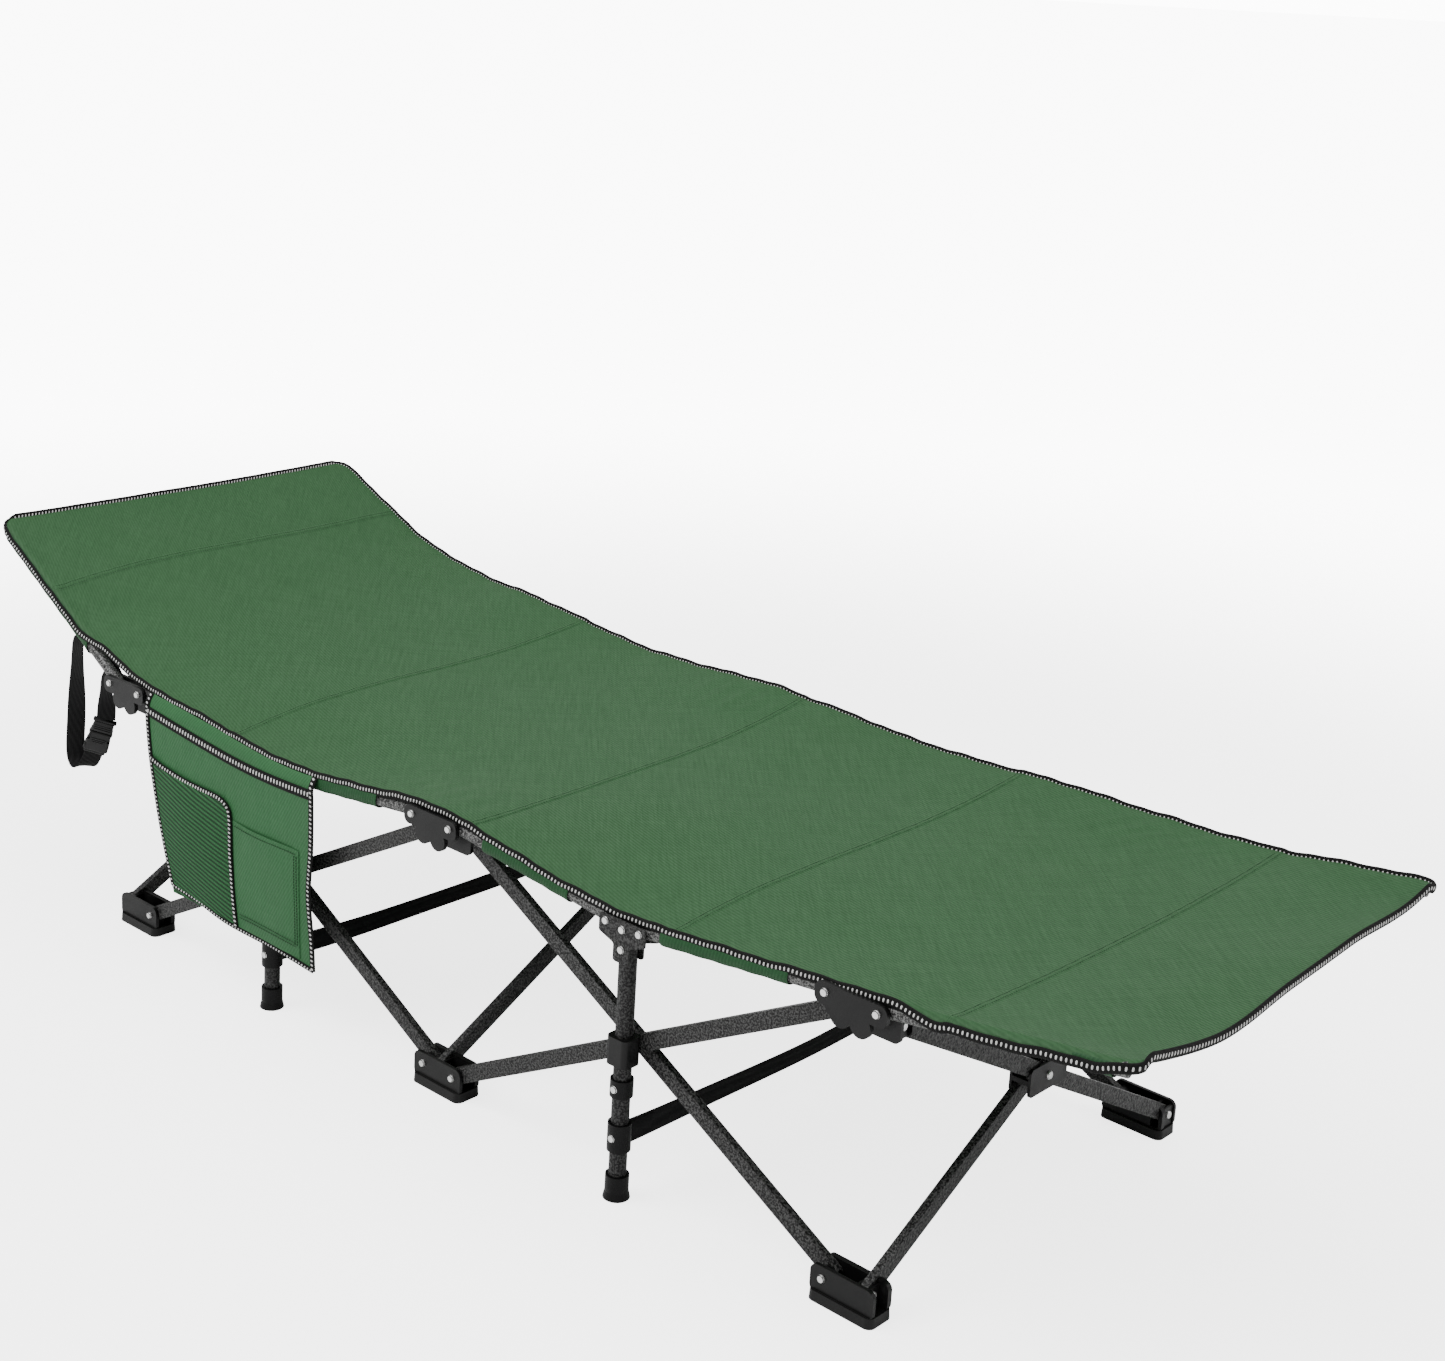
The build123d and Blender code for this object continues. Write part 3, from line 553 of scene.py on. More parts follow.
def deckPoint(u, v):
    # u runs along the deck, and v from -1 at the near edge to 1 at the far one
    side = 1 if v > 0 else -1
    seam, skew = seamAt(u)
    away = u - seam
    x = u - skew * v * 0.5 * max(0.0, 1 - abs(away) / 0.055)      # the seams aren't quite square
    fromEnd = clothEnd - abs(u)
    radius = deck["cornerRadius"]
    cut = 0.0
    if fromEnd < radius:
        cut = radius - (radius ** 2 - (radius - fromEnd) ** 2) ** 0.5
    inner = deck["innerHalf"]
    scallop = deck["endScallop"] * (1 - abs(v) ** 5) * ramp(abs(u), 0.90, clothEnd)
    x -= scallop * (1 if u > 0 else -1)
    loose = exp(-((v + 0.45) / 0.38) ** 2) * ramp(u, 0.86, clothEnd)
    x += deck["footBulge"] * loose
    wrap = wrapShare(u, side)
    steep = 1 / cos(radians(headSlope)) if u < -hinge else 1.0
    ridgeZ = mix(edgeZ(u, side), tubeZ(u) + 0.0093 * steep, wrap)
    if abs(v) <= deck["marginFrom"]:
        share = abs(v) / deck["marginFrom"]
        y = share * (inner - cut)
        curve = mix(deck["curve"], 6.0, ramp(u, 0.80, clothEnd))
        middle = smoothLine(deck["middleLine"], u) + 0.45 * (edgeZ(u, 1) - edgeZ(u, -1))
        z = middle + (ridgeZ - middle) * share ** curve
        calm = 1 - share ** 8
        z += 0.0014 * noise.noise(Vector((u * 5.5, v * 2.2, 4.7))) * calm      # broad and small unevenness
        z += 0.0005 * noise.noise(Vector((u * 24 + v * 5, v * 6, 1.3))) * calm
        # creases that fan out from the hubs
        pull = sum(exp(-((u - hub) / 0.095) ** 2) for hub in (-0.02, 0.62, -0.62))
        fan = sin(2 * pi * (u * (1 + 0.35 * (1 - share)) / 0.034))
        z += 0.0008 * pull * fan * ramp(share, 0.62, 0.85) * (1 - ramp(share, 0.95, 1.0))
    else:
        s = (abs(v) - deck["marginFrom"]) / deck["marginShare"]
        flatY = inner + s * (deck["halfWidth"] - inner)
        turn = mix(-asin(0.005 / deck["wrapRadius"]), radians(86), s)
        wrapY = railOut + deck["wrapRadius"] * sin(turn)
        wrapZ = tubeZ(u) + deck["wrapRadius"] * steep * cos(turn)
        y = mix(flatY, wrapY, wrap) - cut
        waves = 0.0007 * sin(u * 61 + 1.2 * side) + 0.0005 * sin(u * 143 + side)
        z = mix(edgeZ(u, side) - 0.0012 * s * s, wrapZ, wrap) + waves * s * (1 - ramp(abs(u), 0.90, clothEnd))
        if wrap < 0.99:
            z -= 0.002 * s * ramp(abs(u), 0.92, clothEnd)
    distance = abs(away)
    rise = deck["seamRise"] * (1 - ramp(distance, 0.0040, 0.0056))
    rise -= 0.0006 * exp(-((distance - deck["seamRow"]) / 0.0008) ** 2)
    rise += 0.0003 * sin(2 * pi * y / 0.019) * exp(-(distance / 0.010) ** 2)
    rise -= deck["footSag"] * loose + 0.0018 * sin(v * 9 + 0.6) * ramp(u, 0.90, clothEnd) * (1 - v ** 4)
    return Vector((x, side * y if v else 0.0, z + rise))


def deckRows(low, high):
    stations = [low, high]
    count = max(2, round((high - low) / deck["stepAlong"]))
    stations += [mix(low, high, i / count) for i in range(1, count)]
    for seam, _ in deck["seams"]:
        if low < seam < high:
            stations = [u for u in stations if abs(u - seam) > 0.0085]
            stations += [seam + d / 1000 for d in (-7, -5.6, -4.8, -4, -3.4, -2.9, -2.4, -1.5, 0,
                                                   1.5, 2.4, 2.9, 3.4, 4, 4.8, 5.6, 7)]
    radius = deck["cornerRadius"]
    if high == clothEnd:
        stations = [u for u in stations if u < high - radius or u == high]
        stations += [high - radius * (1 - sin(radians(a))) for a in range(0, 90, 10)]
    if low == -clothEnd:
        stations = [u for u in stations if u > low + radius or u == low]
        stations += [low + radius * (1 - sin(radians(a))) for a in range(0, 90, 10)]
    return sorted(set(stations))


def deckColumns():
    start, count = deck["marginFrom"], deck["marginColumns"]
    inner = [start * (2 * i / deck["columns"] - 1) for i in range(deck["columns"] + 1)]
    margin = [start + deck["marginShare"] * i / count for i in range(1, count + 1)]
    return [-v for v in reversed(margin)] + inner + margin


def flatSize(rows):
    # the lengths of the cloth's middle row and middle column, and its area
    def run(points):
        return sum((b - a).length for a, b in zip(points, points[1:]))
    widths = [run(row) for row in rows]
    lengths = [run([row[i] for row in rows]) for i in range(0, len(rows[0]), 6)]
    area = 0.0
    for first, second in zip(rows, rows[1:]):
        for a, b, c, d in zip(first, first[1:], second[1:], second):
            area += 0.5 * ((b - a).cross(c - a).length + (c - a).cross(d - a).length)
    return max(widths), max(lengths), area


def squashAcross(piece):
    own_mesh(piece)


def declareSheet(piece, rows):
    width, length, area = flatSize(rows)
    area = min(area, width * length)
    print(f"sheet {piece.name}: {width * 1000:.0f} x {length * 1000:.0f} mm")


columns = deckColumns()
for name, pattern, replaced, low, high in deckLengths:
    body = bodyFor(pattern, "near")
    rows = [[deckPoint(u, v) for v in columns] for u in deckRows(low, high)]
    piece = gridPiece(name, [list(reversed(row)) for row in rows])
    addModifier(piece, "SOLIDIFY", thickness=deck["thickness"], offset=-1.0)
    finishPiece(piece, name, body, [materials["deckCloth"]], 40)
    if replaced:
        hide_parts(*replaced)
    squashAcross(piece)
    declareSheet(piece, rows)
print("deck made:", len(deckLengths), "lengths")


# ---- bound edges with whipped stitches
binding = {"halfThick": 0.0024, "halfTall": 0.0057, "points": 14, "pitch": 0.0055, "stitchWidth": 0.0022,
           "stitchRise": 0.00045, "stitchArc": 22.0, "stitchLean": 7.0, "slant": 0.0009,
           "sideDrop": -0.0009, "endDrop": -0.0007}


def frameAlong(points, talls):
    # each point with its direction of run, its tall direction and its outward one
    frames = []
    for i, point in enumerate(points):
        before, after = points[max(0, i - 1)], points[min(len(points) - 1, i + 1)]
        run = (after - before).normalized()
        tall = talls[i] - run * talls[i].dot(run)
        tall.normalize()
        frames.append((point, run, tall, run.cross(tall)))
    return frames


def frameAt(frames, lengths, distance):
    i = min(len(frames) - 2, max(0, bisect_right(lengths, distance) - 1))
    share = (distance - lengths[i]) / (lengths[i + 1] - lengths[i])
    return tuple(frames[i][k].lerp(frames[i + 1][k], share) for k in range(4))


def pathLengths(frames):
    # how far along the path each of its points is
    lengths = [0.0]
    for first, second in zip(frames, frames[1:]):
        lengths.append(lengths[-1] + (second[0] - first[0]).length)
    return lengths


def closeStitch(mesh, rings):
    # faces from each ring of four to the next, and over the two ends
    for first, second in zip(rings, rings[1:]):
        for k in range(4):
            mesh.faces.new((first[k], first[(k + 1) % 4], second[(k + 1) % 4], second[k]))
    mesh.faces.new(rings[0][::-1])
    mesh.faces.new(rings[-1])


def linkMesh(mesh, name):
    bmesh.ops.recalc_face_normals(mesh, faces=mesh.faces)
    data = bpy.data.meshes.new(name)
    mesh.to_mesh(data)
    mesh.free()
    made = bpy.data.objects.new(name, data)
    bpy.context.scene.collection.objects.link(made)
    return made


def whipStitches(frames, faces, settings, name):
    lengths = pathLengths(frames)
    count = max(1, round(lengths[-1] / settings["pitch"]))
    mesh = bmesh.new()
    for i in range(count):
        point, run, tall, out = frameAt(frames, lengths, lengths[-1] * (i + 0.5) / count)
        for face in faces:
            rings = []
            for j in range(5):
                angle = radians(settings["stitchLean"] + mix(-settings["stitchArc"], settings["stitchArc"], j / 4))
                normal = (out * face * cos(angle) / settings["halfThick"]
                          + tall * sin(angle) / settings["halfTall"]).normalized()
                skin = (point + out * face * settings["halfThick"] * cos(angle)
                        + tall * settings["halfTall"] * sin(angle) + run * settings["slant"] * sin(angle) * face)
                thick = settings["stitchRise"] * (0.35 if j in (0, 4) else 1.0)
                half = settings["stitchWidth"] / 2 * (0.6 if j in (0, 4) else 1.0)
                rings.append([mesh.verts.new(skin - run * half + normal * 0.00002),
                              mesh.verts.new(skin - run * half * 0.45 + normal * thick),
                              mesh.verts.new(skin + run * half * 0.45 + normal * thick),
                              mesh.verts.new(skin + run * half + normal * 0.00002)])
            closeStitch(mesh, rings)
    return linkMesh(mesh, name)


def boundEdge(name, points, talls, faces=(1, -1), settings=binding):
    # an oval roll of tape along the path, with its stitches joined to it
    frames = frameAlong(points, talls)
    rings = []
    for point, _, tall, out in frames:
        rings.append([point + out * settings["halfThick"] * cos(2 * pi * i / settings["points"])
                      + tall * settings["halfTall"] * sin(2 * pi * i / settings["points"])
                      for i in range(settings["points"])])
    tape = gridPiece(name + "Tape", rings, closed=True, capped=True)
    tape.data.materials.append(materials["bindingTape"])
    stitches = whipStitches(frames, faces, settings, name + "Stitches")
    stitches.data.materials.append(materials["whiteThread"])
    return joinPieces([tape, stitches], name)


def edgePath(low, high, v):
    points = [deckPoint(u, v) + Vector((0, 0, binding["sideDrop"])) for u in deckRows(low, high)]
    return points, [Vector((0, 0, 1))] * len(points)


for side, sign in sideNames.items():
    for name, pattern, _, low, high in deckLengths:
        points, talls = edgePath(low, high, float(sign))
        if sign > 0:
            points.reverse()
        piece = boundEdge(f"edgeTape{side.title()}{name[4:]}", points, talls)
        finishPiece(piece, piece.name, bodyFor(pattern, side), smooth=50)


def endPath(u):
    points = [deckPoint(u, v) + Vector((0, 0, binding["endDrop"])) for v in deckColumns()]
    return points, [Vector((0, 0, 1))] * len(points)


for name, body, u in (("edgeTapeHeadEnd", "head_tube_near", -clothEnd),
                      ("edgeTapeFootEnd", "foot_tube_near", clothEnd)):
    points, talls = endPath(u)
    if u < 0:
        points.reverse()
    piece = boundEdge(name, points, talls)
    finishPiece(piece, name, body, smooth=50)
    squashAcross(piece)
print("edges bound")


# ---- sewn rows of small stitches
stitchRow = {"pitch": 0.0038, "length": 0.0028, "width": 0.0011, "rise": 0.00040}


def sewnRow(name, points, normals, settings=stitchRow):
    frames = frameAlong(points, normals)
    lengths = pathLengths(frames)
    count = max(1, round(lengths[-1] / settings["pitch"]))
    mesh = bmesh.new()
    for i in range(count):
        point, run, up, out = frameAt(frames, lengths, lengths[-1] * (i + 0.5) / count)
        rings = []
        for along, size in ((-0.5, 0.35), (-0.25, 1.0), (0.25, 1.0), (0.5, 0.35)):
            middle = point + run * settings["length"] * along
            half, top = settings["width"] / 2 * size, settings["rise"] * size
            rings.append([mesh.verts.new(middle + out * half - up * 0.0002),
                          mesh.verts.new(middle + out * half * 0.5 + up * top),
                          mesh.verts.new(middle - out * half * 0.5 + up * top),
                          mesh.verts.new(middle - out * half - up * 0.0002)])
        closeStitch(mesh, rings)
    return linkMesh(mesh, name)


seamBodies = ("head_tube_near", "rail_near_1", "rail_near_3", "rail_near_4", "foot_tube_near")
for number, ((seam, _), body) in enumerate(zip(deck["seams"], seamBodies), 1):
    rows = []
    for offset in (-deck["seamRow"], deck["seamRow"]):
        points = [deckPoint(seam + offset, -0.985 + 1.97 * i / 90) for i in range(91)]
        rows.append(sewnRow("row", points, [Vector((0, 0, 1))] * len(points)))
    piece = joinPieces(rows, f"seamStitches{number}")
    finishPiece(piece, piece.name, body, [materials["greenThread"]])
    squashAcross(piece)
print("seams sewn")


# ---- cloth sleeves that hold the rails
sleeve = {"gap": 0.0012, "thickness": 0.0009, "step": 0.008, "neckHalf": 0.0066, "shoulderHalf": 0.0084,
          "spans": (("rail_{}_1", 1, -0.548, -0.392), ("rail_{}_2", 2, -0.262, -0.104),
                    ("rail_{}_3", 3, 0.086, 0.228), ("rail_{}_4", 4, 0.369, 0.548)),
          "ends": (("head_tube", "Head", -0.9330, -0.728), ("foot_tube", "Foot", 0.884, 0.9280))}


def sleevePiece(name, body, sign, low, high):
    count = max(4, round((high - low) / sleeve["step"]))
    rows = []
    for i in range(count + 1):
        x = mix(low, high, i / count)
        steep = 1 / cos(radians(headSlope)) if x < -hinge else 1.0
        hem = 0.0006 * exp(-min(x - low, high - x) / 0.004) + 0.0004 * sin(x * 170 + sign)
        radius = railRadius + sleeve["gap"] + hem
        middle, top = tubeZ(x), deckPoint(x, sign * 0.97).z - 0.0016
        top = max(top, middle + 0.0075)
        shoulder = mix(middle, top, 0.55)
        ring = [(-sleeve["neckHalf"], top), (-sleeve["shoulderHalf"], shoulder)]
        for k in range(9):
            angle = radians(180 + 22.5 * k)
            ring.append((radius * cos(angle), middle + radius * steep * sin(angle)))
        ring += [(sleeve["shoulderHalf"], shoulder), (sleeve["neckHalf"], top)]
        rows.append([Vector((x, sign * railOut + y, z)) for y, z in ring])
    piece = gridPiece(name, rows)
    addModifier(piece, "SOLIDIFY", thickness=sleeve["thickness"], offset=1.0)
    addModifier(piece, "SUBSURF", levels=1, render_levels=1)
    finishPiece(piece, name, body, [materials["shadedSleeveCloth"]], 60)
    return piece, rows


for side, sign in sideNames.items():
    for pattern, number, low, high in sleeve["spans"]:
        piece, rows = sleevePiece(f"sleeve{side.title()}{number}", bodyFor(pattern, side), sign, low, high)
        declareSheet(piece, rows)
    for pattern, label, low, high in sleeve["ends"]:
        piece, rows = sleevePiece(f"cornerPocket{side.title()}{label}", bodyFor(pattern, side), sign, low, high)
        declareSheet(piece, rows)
print("sleeves made")


# ---- the side pocket
pocket = {
    "leftLine": ((0.0, -0.571), (0.12, -0.573), (0.34, -0.565), (0.63, -0.546), (0.88, -0.524), (1.0, -0.513)),
    "rightLine": ((0.0, -0.221), (0.37, -0.219), (0.60, -0.2225), (0.87, -0.214), (1.0, -0.211)),
    "bottomLine": ((0.0, 0.113), (0.18, 0.108), (0.36, 0.101), (0.5, 0.0985), (0.8, 0.0975), (1.0, 0.0935)),
    "topDrop": 0.004, "panelOut": 0.3303, "topOut": 0.3236, "thickness": 0.0009,
    "zipLine": ((-0.5725, 0.3485), (-0.520, 0.3425), (-0.476, 0.3380), (-0.430, 0.3335), (-0.388, 0.3300),
                (-0.345, 0.3280), (-0.303, 0.3275), (-0.260, 0.3285), (-0.222, 0.3300)),
    "netTop": ((-0.5640, 0.2840), (-0.5400, 0.2785), (-0.5210, 0.2760), (-0.4960, 0.2730), (-0.4710, 0.2715),
               (-0.4450, 0.2712), (-0.4200, 0.2712), (-0.4050, 0.2700)),
    "netCorner": ((-0.3940, 0.2660), (-0.3870, 0.2580), (-0.3850, 0.2450)),
    "netRight": ((-0.3845, 0.2280), (-0.3835, 0.2030), (-0.3805, 0.1770), (-0.3770, 0.1500), (-0.3730, 0.1230),
                 (-0.3690, 0.1010)),
    "netTopZ": 0.2730, "netLowZ": 0.103, "netBulge": 0.0065,
    "slipLeft": -0.3805, "slipTopZ": 0.2400, "slipLowZ": 0.1180, "slipBulge": 0.0028,
    "slipTop": ((-0.380, 0.2480), (-0.340, 0.2460), (-0.300, 0.2468), (-0.262, 0.2480), (-0.246, 0.2478)),
    "slipRight": ((-0.2425, 0.2400), (-0.2410, 0.2000), (-0.2385, 0.1600), (-0.2365, 0.1180)),
}


def pocketShare(x, z):
    top, bottom = smoothLine(deck["edgeLine"], x) - pocket["topDrop"], 0.10
    return min(1.0, max(0.0, (top - z) / (top - bottom)))


def pocketPoint(s, t):
    left, right = smoothLine(pocket["leftLine"], t), smoothLine(pocket["rightLine"], t)
    x = mix(left, right, s)
    z = mix(smoothLine(deck["edgeLine"], x) - pocket["topDrop"], smoothLine(pocket["bottomLine"], s), t)
    return Vector((x, pocketY(x, z), z))


def pocketY(x, z):
    t = pocketShare(x, z)
    out = mix(pocket["topOut"], pocket["panelOut"], ramp(t, 0.0, 0.045))
    ripple = 0.0012 * (0.5 + 0.5 * sin(x * 46 + 0.8)) * ramp(t, 0.25, 1.0)
    ripple += 0.0007 * (0.5 + 0.5 * noise.noise(Vector((x * 22, 0.4, z * 22)))) * ramp(t, 0.1, 0.4)
    return -(out + ripple)


def squashPocket(piece):
    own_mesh(piece)


def finishPocket(piece, name, used=(), smooth=45):
    finishPiece(piece, name, "leg_near_head", used, smooth)
    squashPocket(piece)


rows = [[pocketPoint(i / 46, j / 34) for i in range(47)] for j in range(35)]
piece = gridPiece("pocketPanel", rows)
addModifier(piece, "SOLIDIFY", thickness=pocket["thickness"], offset=1.0)
finishPocket(piece, "pocketPanel", [materials["pocketCloth"]])
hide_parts("side_pocket")
declareSheet(piece, rows)


def netPoint(s, t):
    # t runs down from the net's bound top, s across to its bound right side
    topZ = pocket["netTopZ"]
    z = mix(topZ, pocket["netLowZ"], t)
    left = smoothLine(pocket["leftLine"], pocketShare(-0.55, z)) + 0.003
    rightLine = sorted((-z, x) for x, z in pocket["netRight"] + pocket["netCorner"][1:])
    right = smoothLine(rightLine, -z)
    x = mix(left, right, s)
    rise = (smoothLine(pocket["netTop"] + pocket["netCorner"][:2], min(x, -0.388)) - topZ) * (1 - t) ** 2
    z += rise
    bulge = 0.0
    if t < 1:
        bulge = pocket["netBulge"] * sin(pi * min(1.0, s * 1.02)) ** 0.8 * sin(pi * (0.12 + 0.88 * t)) ** 0.7
    return Vector((x, pocketY(x, z) - 0.0010 - bulge, z))


rows = [[netPoint(i / 30, j / 28) for i in range(31)] for j in range(29)]
piece = gridPiece("pocketNetPanel", rows)
addModifier(piece, "SOLIDIFY", thickness=0.0006, offset=1.0)
finishPocket(piece, "pocketNetPanel", [materials["pocketNet"]])
declareSheet(piece, rows)


def slipPoint(s, t):
    rightLine = sorted((-z, x) for x, z in pocket["slipRight"])
    right = smoothLine(rightLine, -mix(pocket["slipTopZ"], pocket["slipLowZ"], t))
    x = mix(pocket["slipLeft"] + 0.010 * t, right, s)
    z = mix(smoothLine(pocket["slipTop"], min(x, -0.246)), smoothLine(pocket["bottomLine"], 0.75) + 0.004, t)
    bulge = pocket["slipBulge"] * sin(pi * s) * (0.35 + 0.65 * sin(pi * min(1.0, 0.15 + 0.85 * t)))
    return Vector((x, pocketY(x, z) - 0.0011 - bulge, z))


rows = [[slipPoint(i / 24, j / 22) for i in range(25)] for j in range(23)]
piece = gridPiece("slipPocket", rows)
addModifier(piece, "SOLIDIFY", thickness=0.0010, offset=1.0)
finishPocket(piece, "slipPocket", [materials["pocketCloth"]])
declareSheet(piece, rows)


def inPlane(points):
    # the direction across a path that lies on the pocket's face
    talls = []
    for i in range(len(points)):
        run = points[min(len(points) - 1, i + 1)] - points[max(0, i - 1)]
        talls.append(run.cross(Vector((0, 1, 0))).normalized())
    return talls


def finer(points, step=0.006):
    # a smooth run of points through the ones given
    out = []
    padded = [points[0]] + list(points) + [points[-1]]
    for p0, p1, p2, p3 in zip(padded, padded[1:], padded[2:], padded[3:]):
        count = max(1, round((p2 - p1).length / step))
        for k in range(count):
            t = k / count
            out.append(0.5 * ((2 * p1) + (p2 - p0) * t + (2 * p0 - 5 * p1 + 4 * p2 - p3) * t * t
                              + (3 * p1 - p0 - 3 * p2 + p3) * t ** 3))
    out.append(points[-1].copy())
    return out


def pocketBinding(name, points, tall, thick, lift, arc=23.0, pitch=0.0058):
    points = finer(points)
    points = [point - Vector((0, lift, 0)) for point in points]
    settings = {**binding, "halfTall": tall, "halfThick": thick, "stitchArc": arc, "pitch": pitch,
                "stitchWidth": pitch * 0.45}
    frames = frameAlong(points, inPlane(points))
    face = 1 if frames[0][3].y < 0 else -1
    piece = boundEdge(name, points, inPlane(points), (face,), settings)
    finishPocket(piece, name, smooth=50)


def lineOnPocket(line, extra=0.0):
    return [Vector((x, pocketY(x, z) - extra, z)) for x, z in line]


pocketBinding("pocketTapeLeft", [pocketPoint(0.0, j / 20) for j in range(21)], 0.0046, 0.0018, 0.0004)
pocketBinding("pocketTapeRight", [pocketPoint(1.0, j / 20) for j in range(21)], 0.0050, 0.0019, 0.0004)
pocketBinding("pocketTapeBottom", [pocketPoint(i / 24, 1.0) for i in range(25)], 0.0034, 0.0018, 0.0005)
pocketBinding("pocketZip", lineOnPocket(pocket["zipLine"]), 0.0072, 0.0016, 0.0008, 24.0, 0.0062)
netEdge = pocket["netTop"] + pocket["netCorner"] + pocket["netRight"]
pocketBinding("netTape", lineOnPocket(netEdge, 0.0018), 0.0040, 0.0018, 0.0006, 34.0)

slipRows = []
for inset in (0.0, 0.0045):
    right = [(x - 0.004 - inset, z) for x, z in pocket["slipRight"]]
    points = finer([Vector((x, pocketY(x, z) - 0.0020, z)) for x, z in right])
    slipRows.append(sewnRow("row", points, [Vector((0, -1, 0))] * len(points)))
    low = [Vector((mix(-0.362, -0.242, i / 12), 0, 0.1175 + inset)) for i in range(13)]
    points = [Vector((p.x, pocketY(p.x, p.z) - 0.0032, p.z)) for p in low]
    slipRows.append(sewnRow("row", points, [Vector((0, -1, 0))] * len(points)))
hem = [Vector((x, 0, smoothLine(pocket["slipTop"], x) - 0.006))
       for x in (-0.376, -0.35, -0.32, -0.29, -0.26, -0.248)]
points = finer([Vector((p.x, pocketY(p.x, p.z) - 0.0022 - 0.0012 * sin(pi * (p.x + 0.38) / 0.135), p.z))
                for p in hem])
slipRows.append(sewnRow("row", points, [Vector((0, -1, 0))] * len(points)))
piece = joinPieces(slipRows, "slipStitches")
finishPocket(piece, "slipStitches", [materials["greenThread"]])
print("pocket made")


# ---- webbing straps
webbing = {"width": 0.031, "thickness": 0.0016, "half": 0.299, "height": 0.077, "sag": 0.009,
           "turnFrom": 0.298, "turnTo": 0.262, "turnWidth": 0.0245, "turnThickness": 0.0015}


def strapPiece(name, points, wides, width, thickness):
    frames = frameAlong(points, wides)
    rings = []
    for point, _, wide, out in frames:
        half, deep = width / 2, thickness / 2
        outline = [(-half, 0), (-half + deep, deep)]
        outline += [(mix(-half + deep, half - deep, i / 6), deep) for i in range(1, 6)]
        outline += [(half - deep, deep), (half, 0), (half - deep, -deep)]
        outline += [(mix(half - deep, -half + deep, i / 6), -deep) for i in range(1, 6)]
        outline += [(-half + deep, -deep)]
        rings.append([point + wide * a + out * b for a, b in outline])
    return gridPiece(name, rings, closed=True, capped=True)


def strapZ(y):
    return webbing["height"] - webbing["sag"] * (1 - (y / webbing["half"]) ** 2)


for bay, sign in (("head", -1), ("foot", 1)):
    x = sign * hubPitch / 2
    points = []
    for i in range(41):
        y = mix(-webbing["half"], webbing["half"], i / 40)
        points.append(Vector((x + 0.0012 * sin(y * 17 + sign), y, strapZ(y))))
    talls = [Vector((0.25 * sin(pi * i / 40), 0, 1)) for i in range(41)]
    strap = strapPiece("strap", points, talls, webbing["width"], webbing["thickness"])
    patches = [strap]
    for end in (-1, 1):
        # the turned-back end, sewn flat
        ys = [mix(webbing["turnFrom"], webbing["turnTo"], i / 8) for i in range(9)]
        low = [Vector((x + 0.0018 * sign, end * y, strapZ(y))) for y in ys]
        patches.append(strapPiece("turn", low, [Vector((0, 0, 1))] * 9, webbing["turnWidth"],
                                  webbing["turnThickness"]))
    piece = joinPieces(patches, f"crossWebbing{bay.title()}")
    finishPiece(piece, piece.name, f"leg_near_{bay}", [materials["strapWebbing"]])
    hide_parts(f"cross_strap_{bay}")
    squashAcross(piece)

carry = {
    "width": 0.026, "tailWidth": 0.017, "thickness": 0.0018,
    "long": ((-0.7490, -0.3035, 0.4110), (-0.7510, -0.3090, 0.4070), (-0.7530, -0.3170, 0.4050),
             (-0.7545, -0.3210, 0.3960), (-0.7590, -0.3200, 0.3500), (-0.7640, -0.3190, 0.2900),
             (-0.7680, -0.3190, 0.2420), (-0.7650, -0.3190, 0.2230), (-0.7530, -0.3190, 0.2150),
             (-0.7360, -0.3190, 0.2220), (-0.7220, -0.3190, 0.2420)),
    "short": ((-0.6900, -0.3190, 0.3000), (-0.6880, -0.3190, 0.3220), (-0.6905, -0.3180, 0.3480),
              (-0.6930, -0.3120, 0.3660), (-0.6900, -0.3040, 0.3720)),
    "tail": ((-0.7500, -0.3035, 0.4050), (-0.7300, -0.3033, 0.3970), (-0.7050, -0.3033, 0.3830),
             (-0.6820, -0.3037, 0.3690), (-0.6700, -0.3066, 0.3600)),
    "buckleLow": (-0.7230, -0.3190, 0.2400), "buckleHigh": (-0.6895, -0.3190, 0.3030),
}


def strapAlong(name, line, wideFrom, wideTo, width):
    points = finer([Vector(point) for point in line], 0.005)
    wides = [Vector(wideFrom).lerp(Vector(wideTo), ramp(i / (len(points) - 1), 0.1, 0.6))
             for i in range(len(points))]
    return strapPiece(name, points, wides, width, carry["thickness"])


strips = [strapAlong("long", carry["long"], (1, 0.05, 0), (0.62, 0.785, 0.0), carry["width"]),
          strapAlong("short", carry["short"], (0.62, 0.785, 0.0), (1, 0.05, 0.1), carry["width"]),
          strapAlong("tail", carry["tail"], (0.5, 0, 0.87), (0.5, 0, 0.87), carry["tailWidth"])]
piece = joinPieces(strips, "carryWebbing")
finishPiece(piece, "carryWebbing", "hub_near_head", [materials["strapWebbing"]])
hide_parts("carry_strap")
print("straps made")


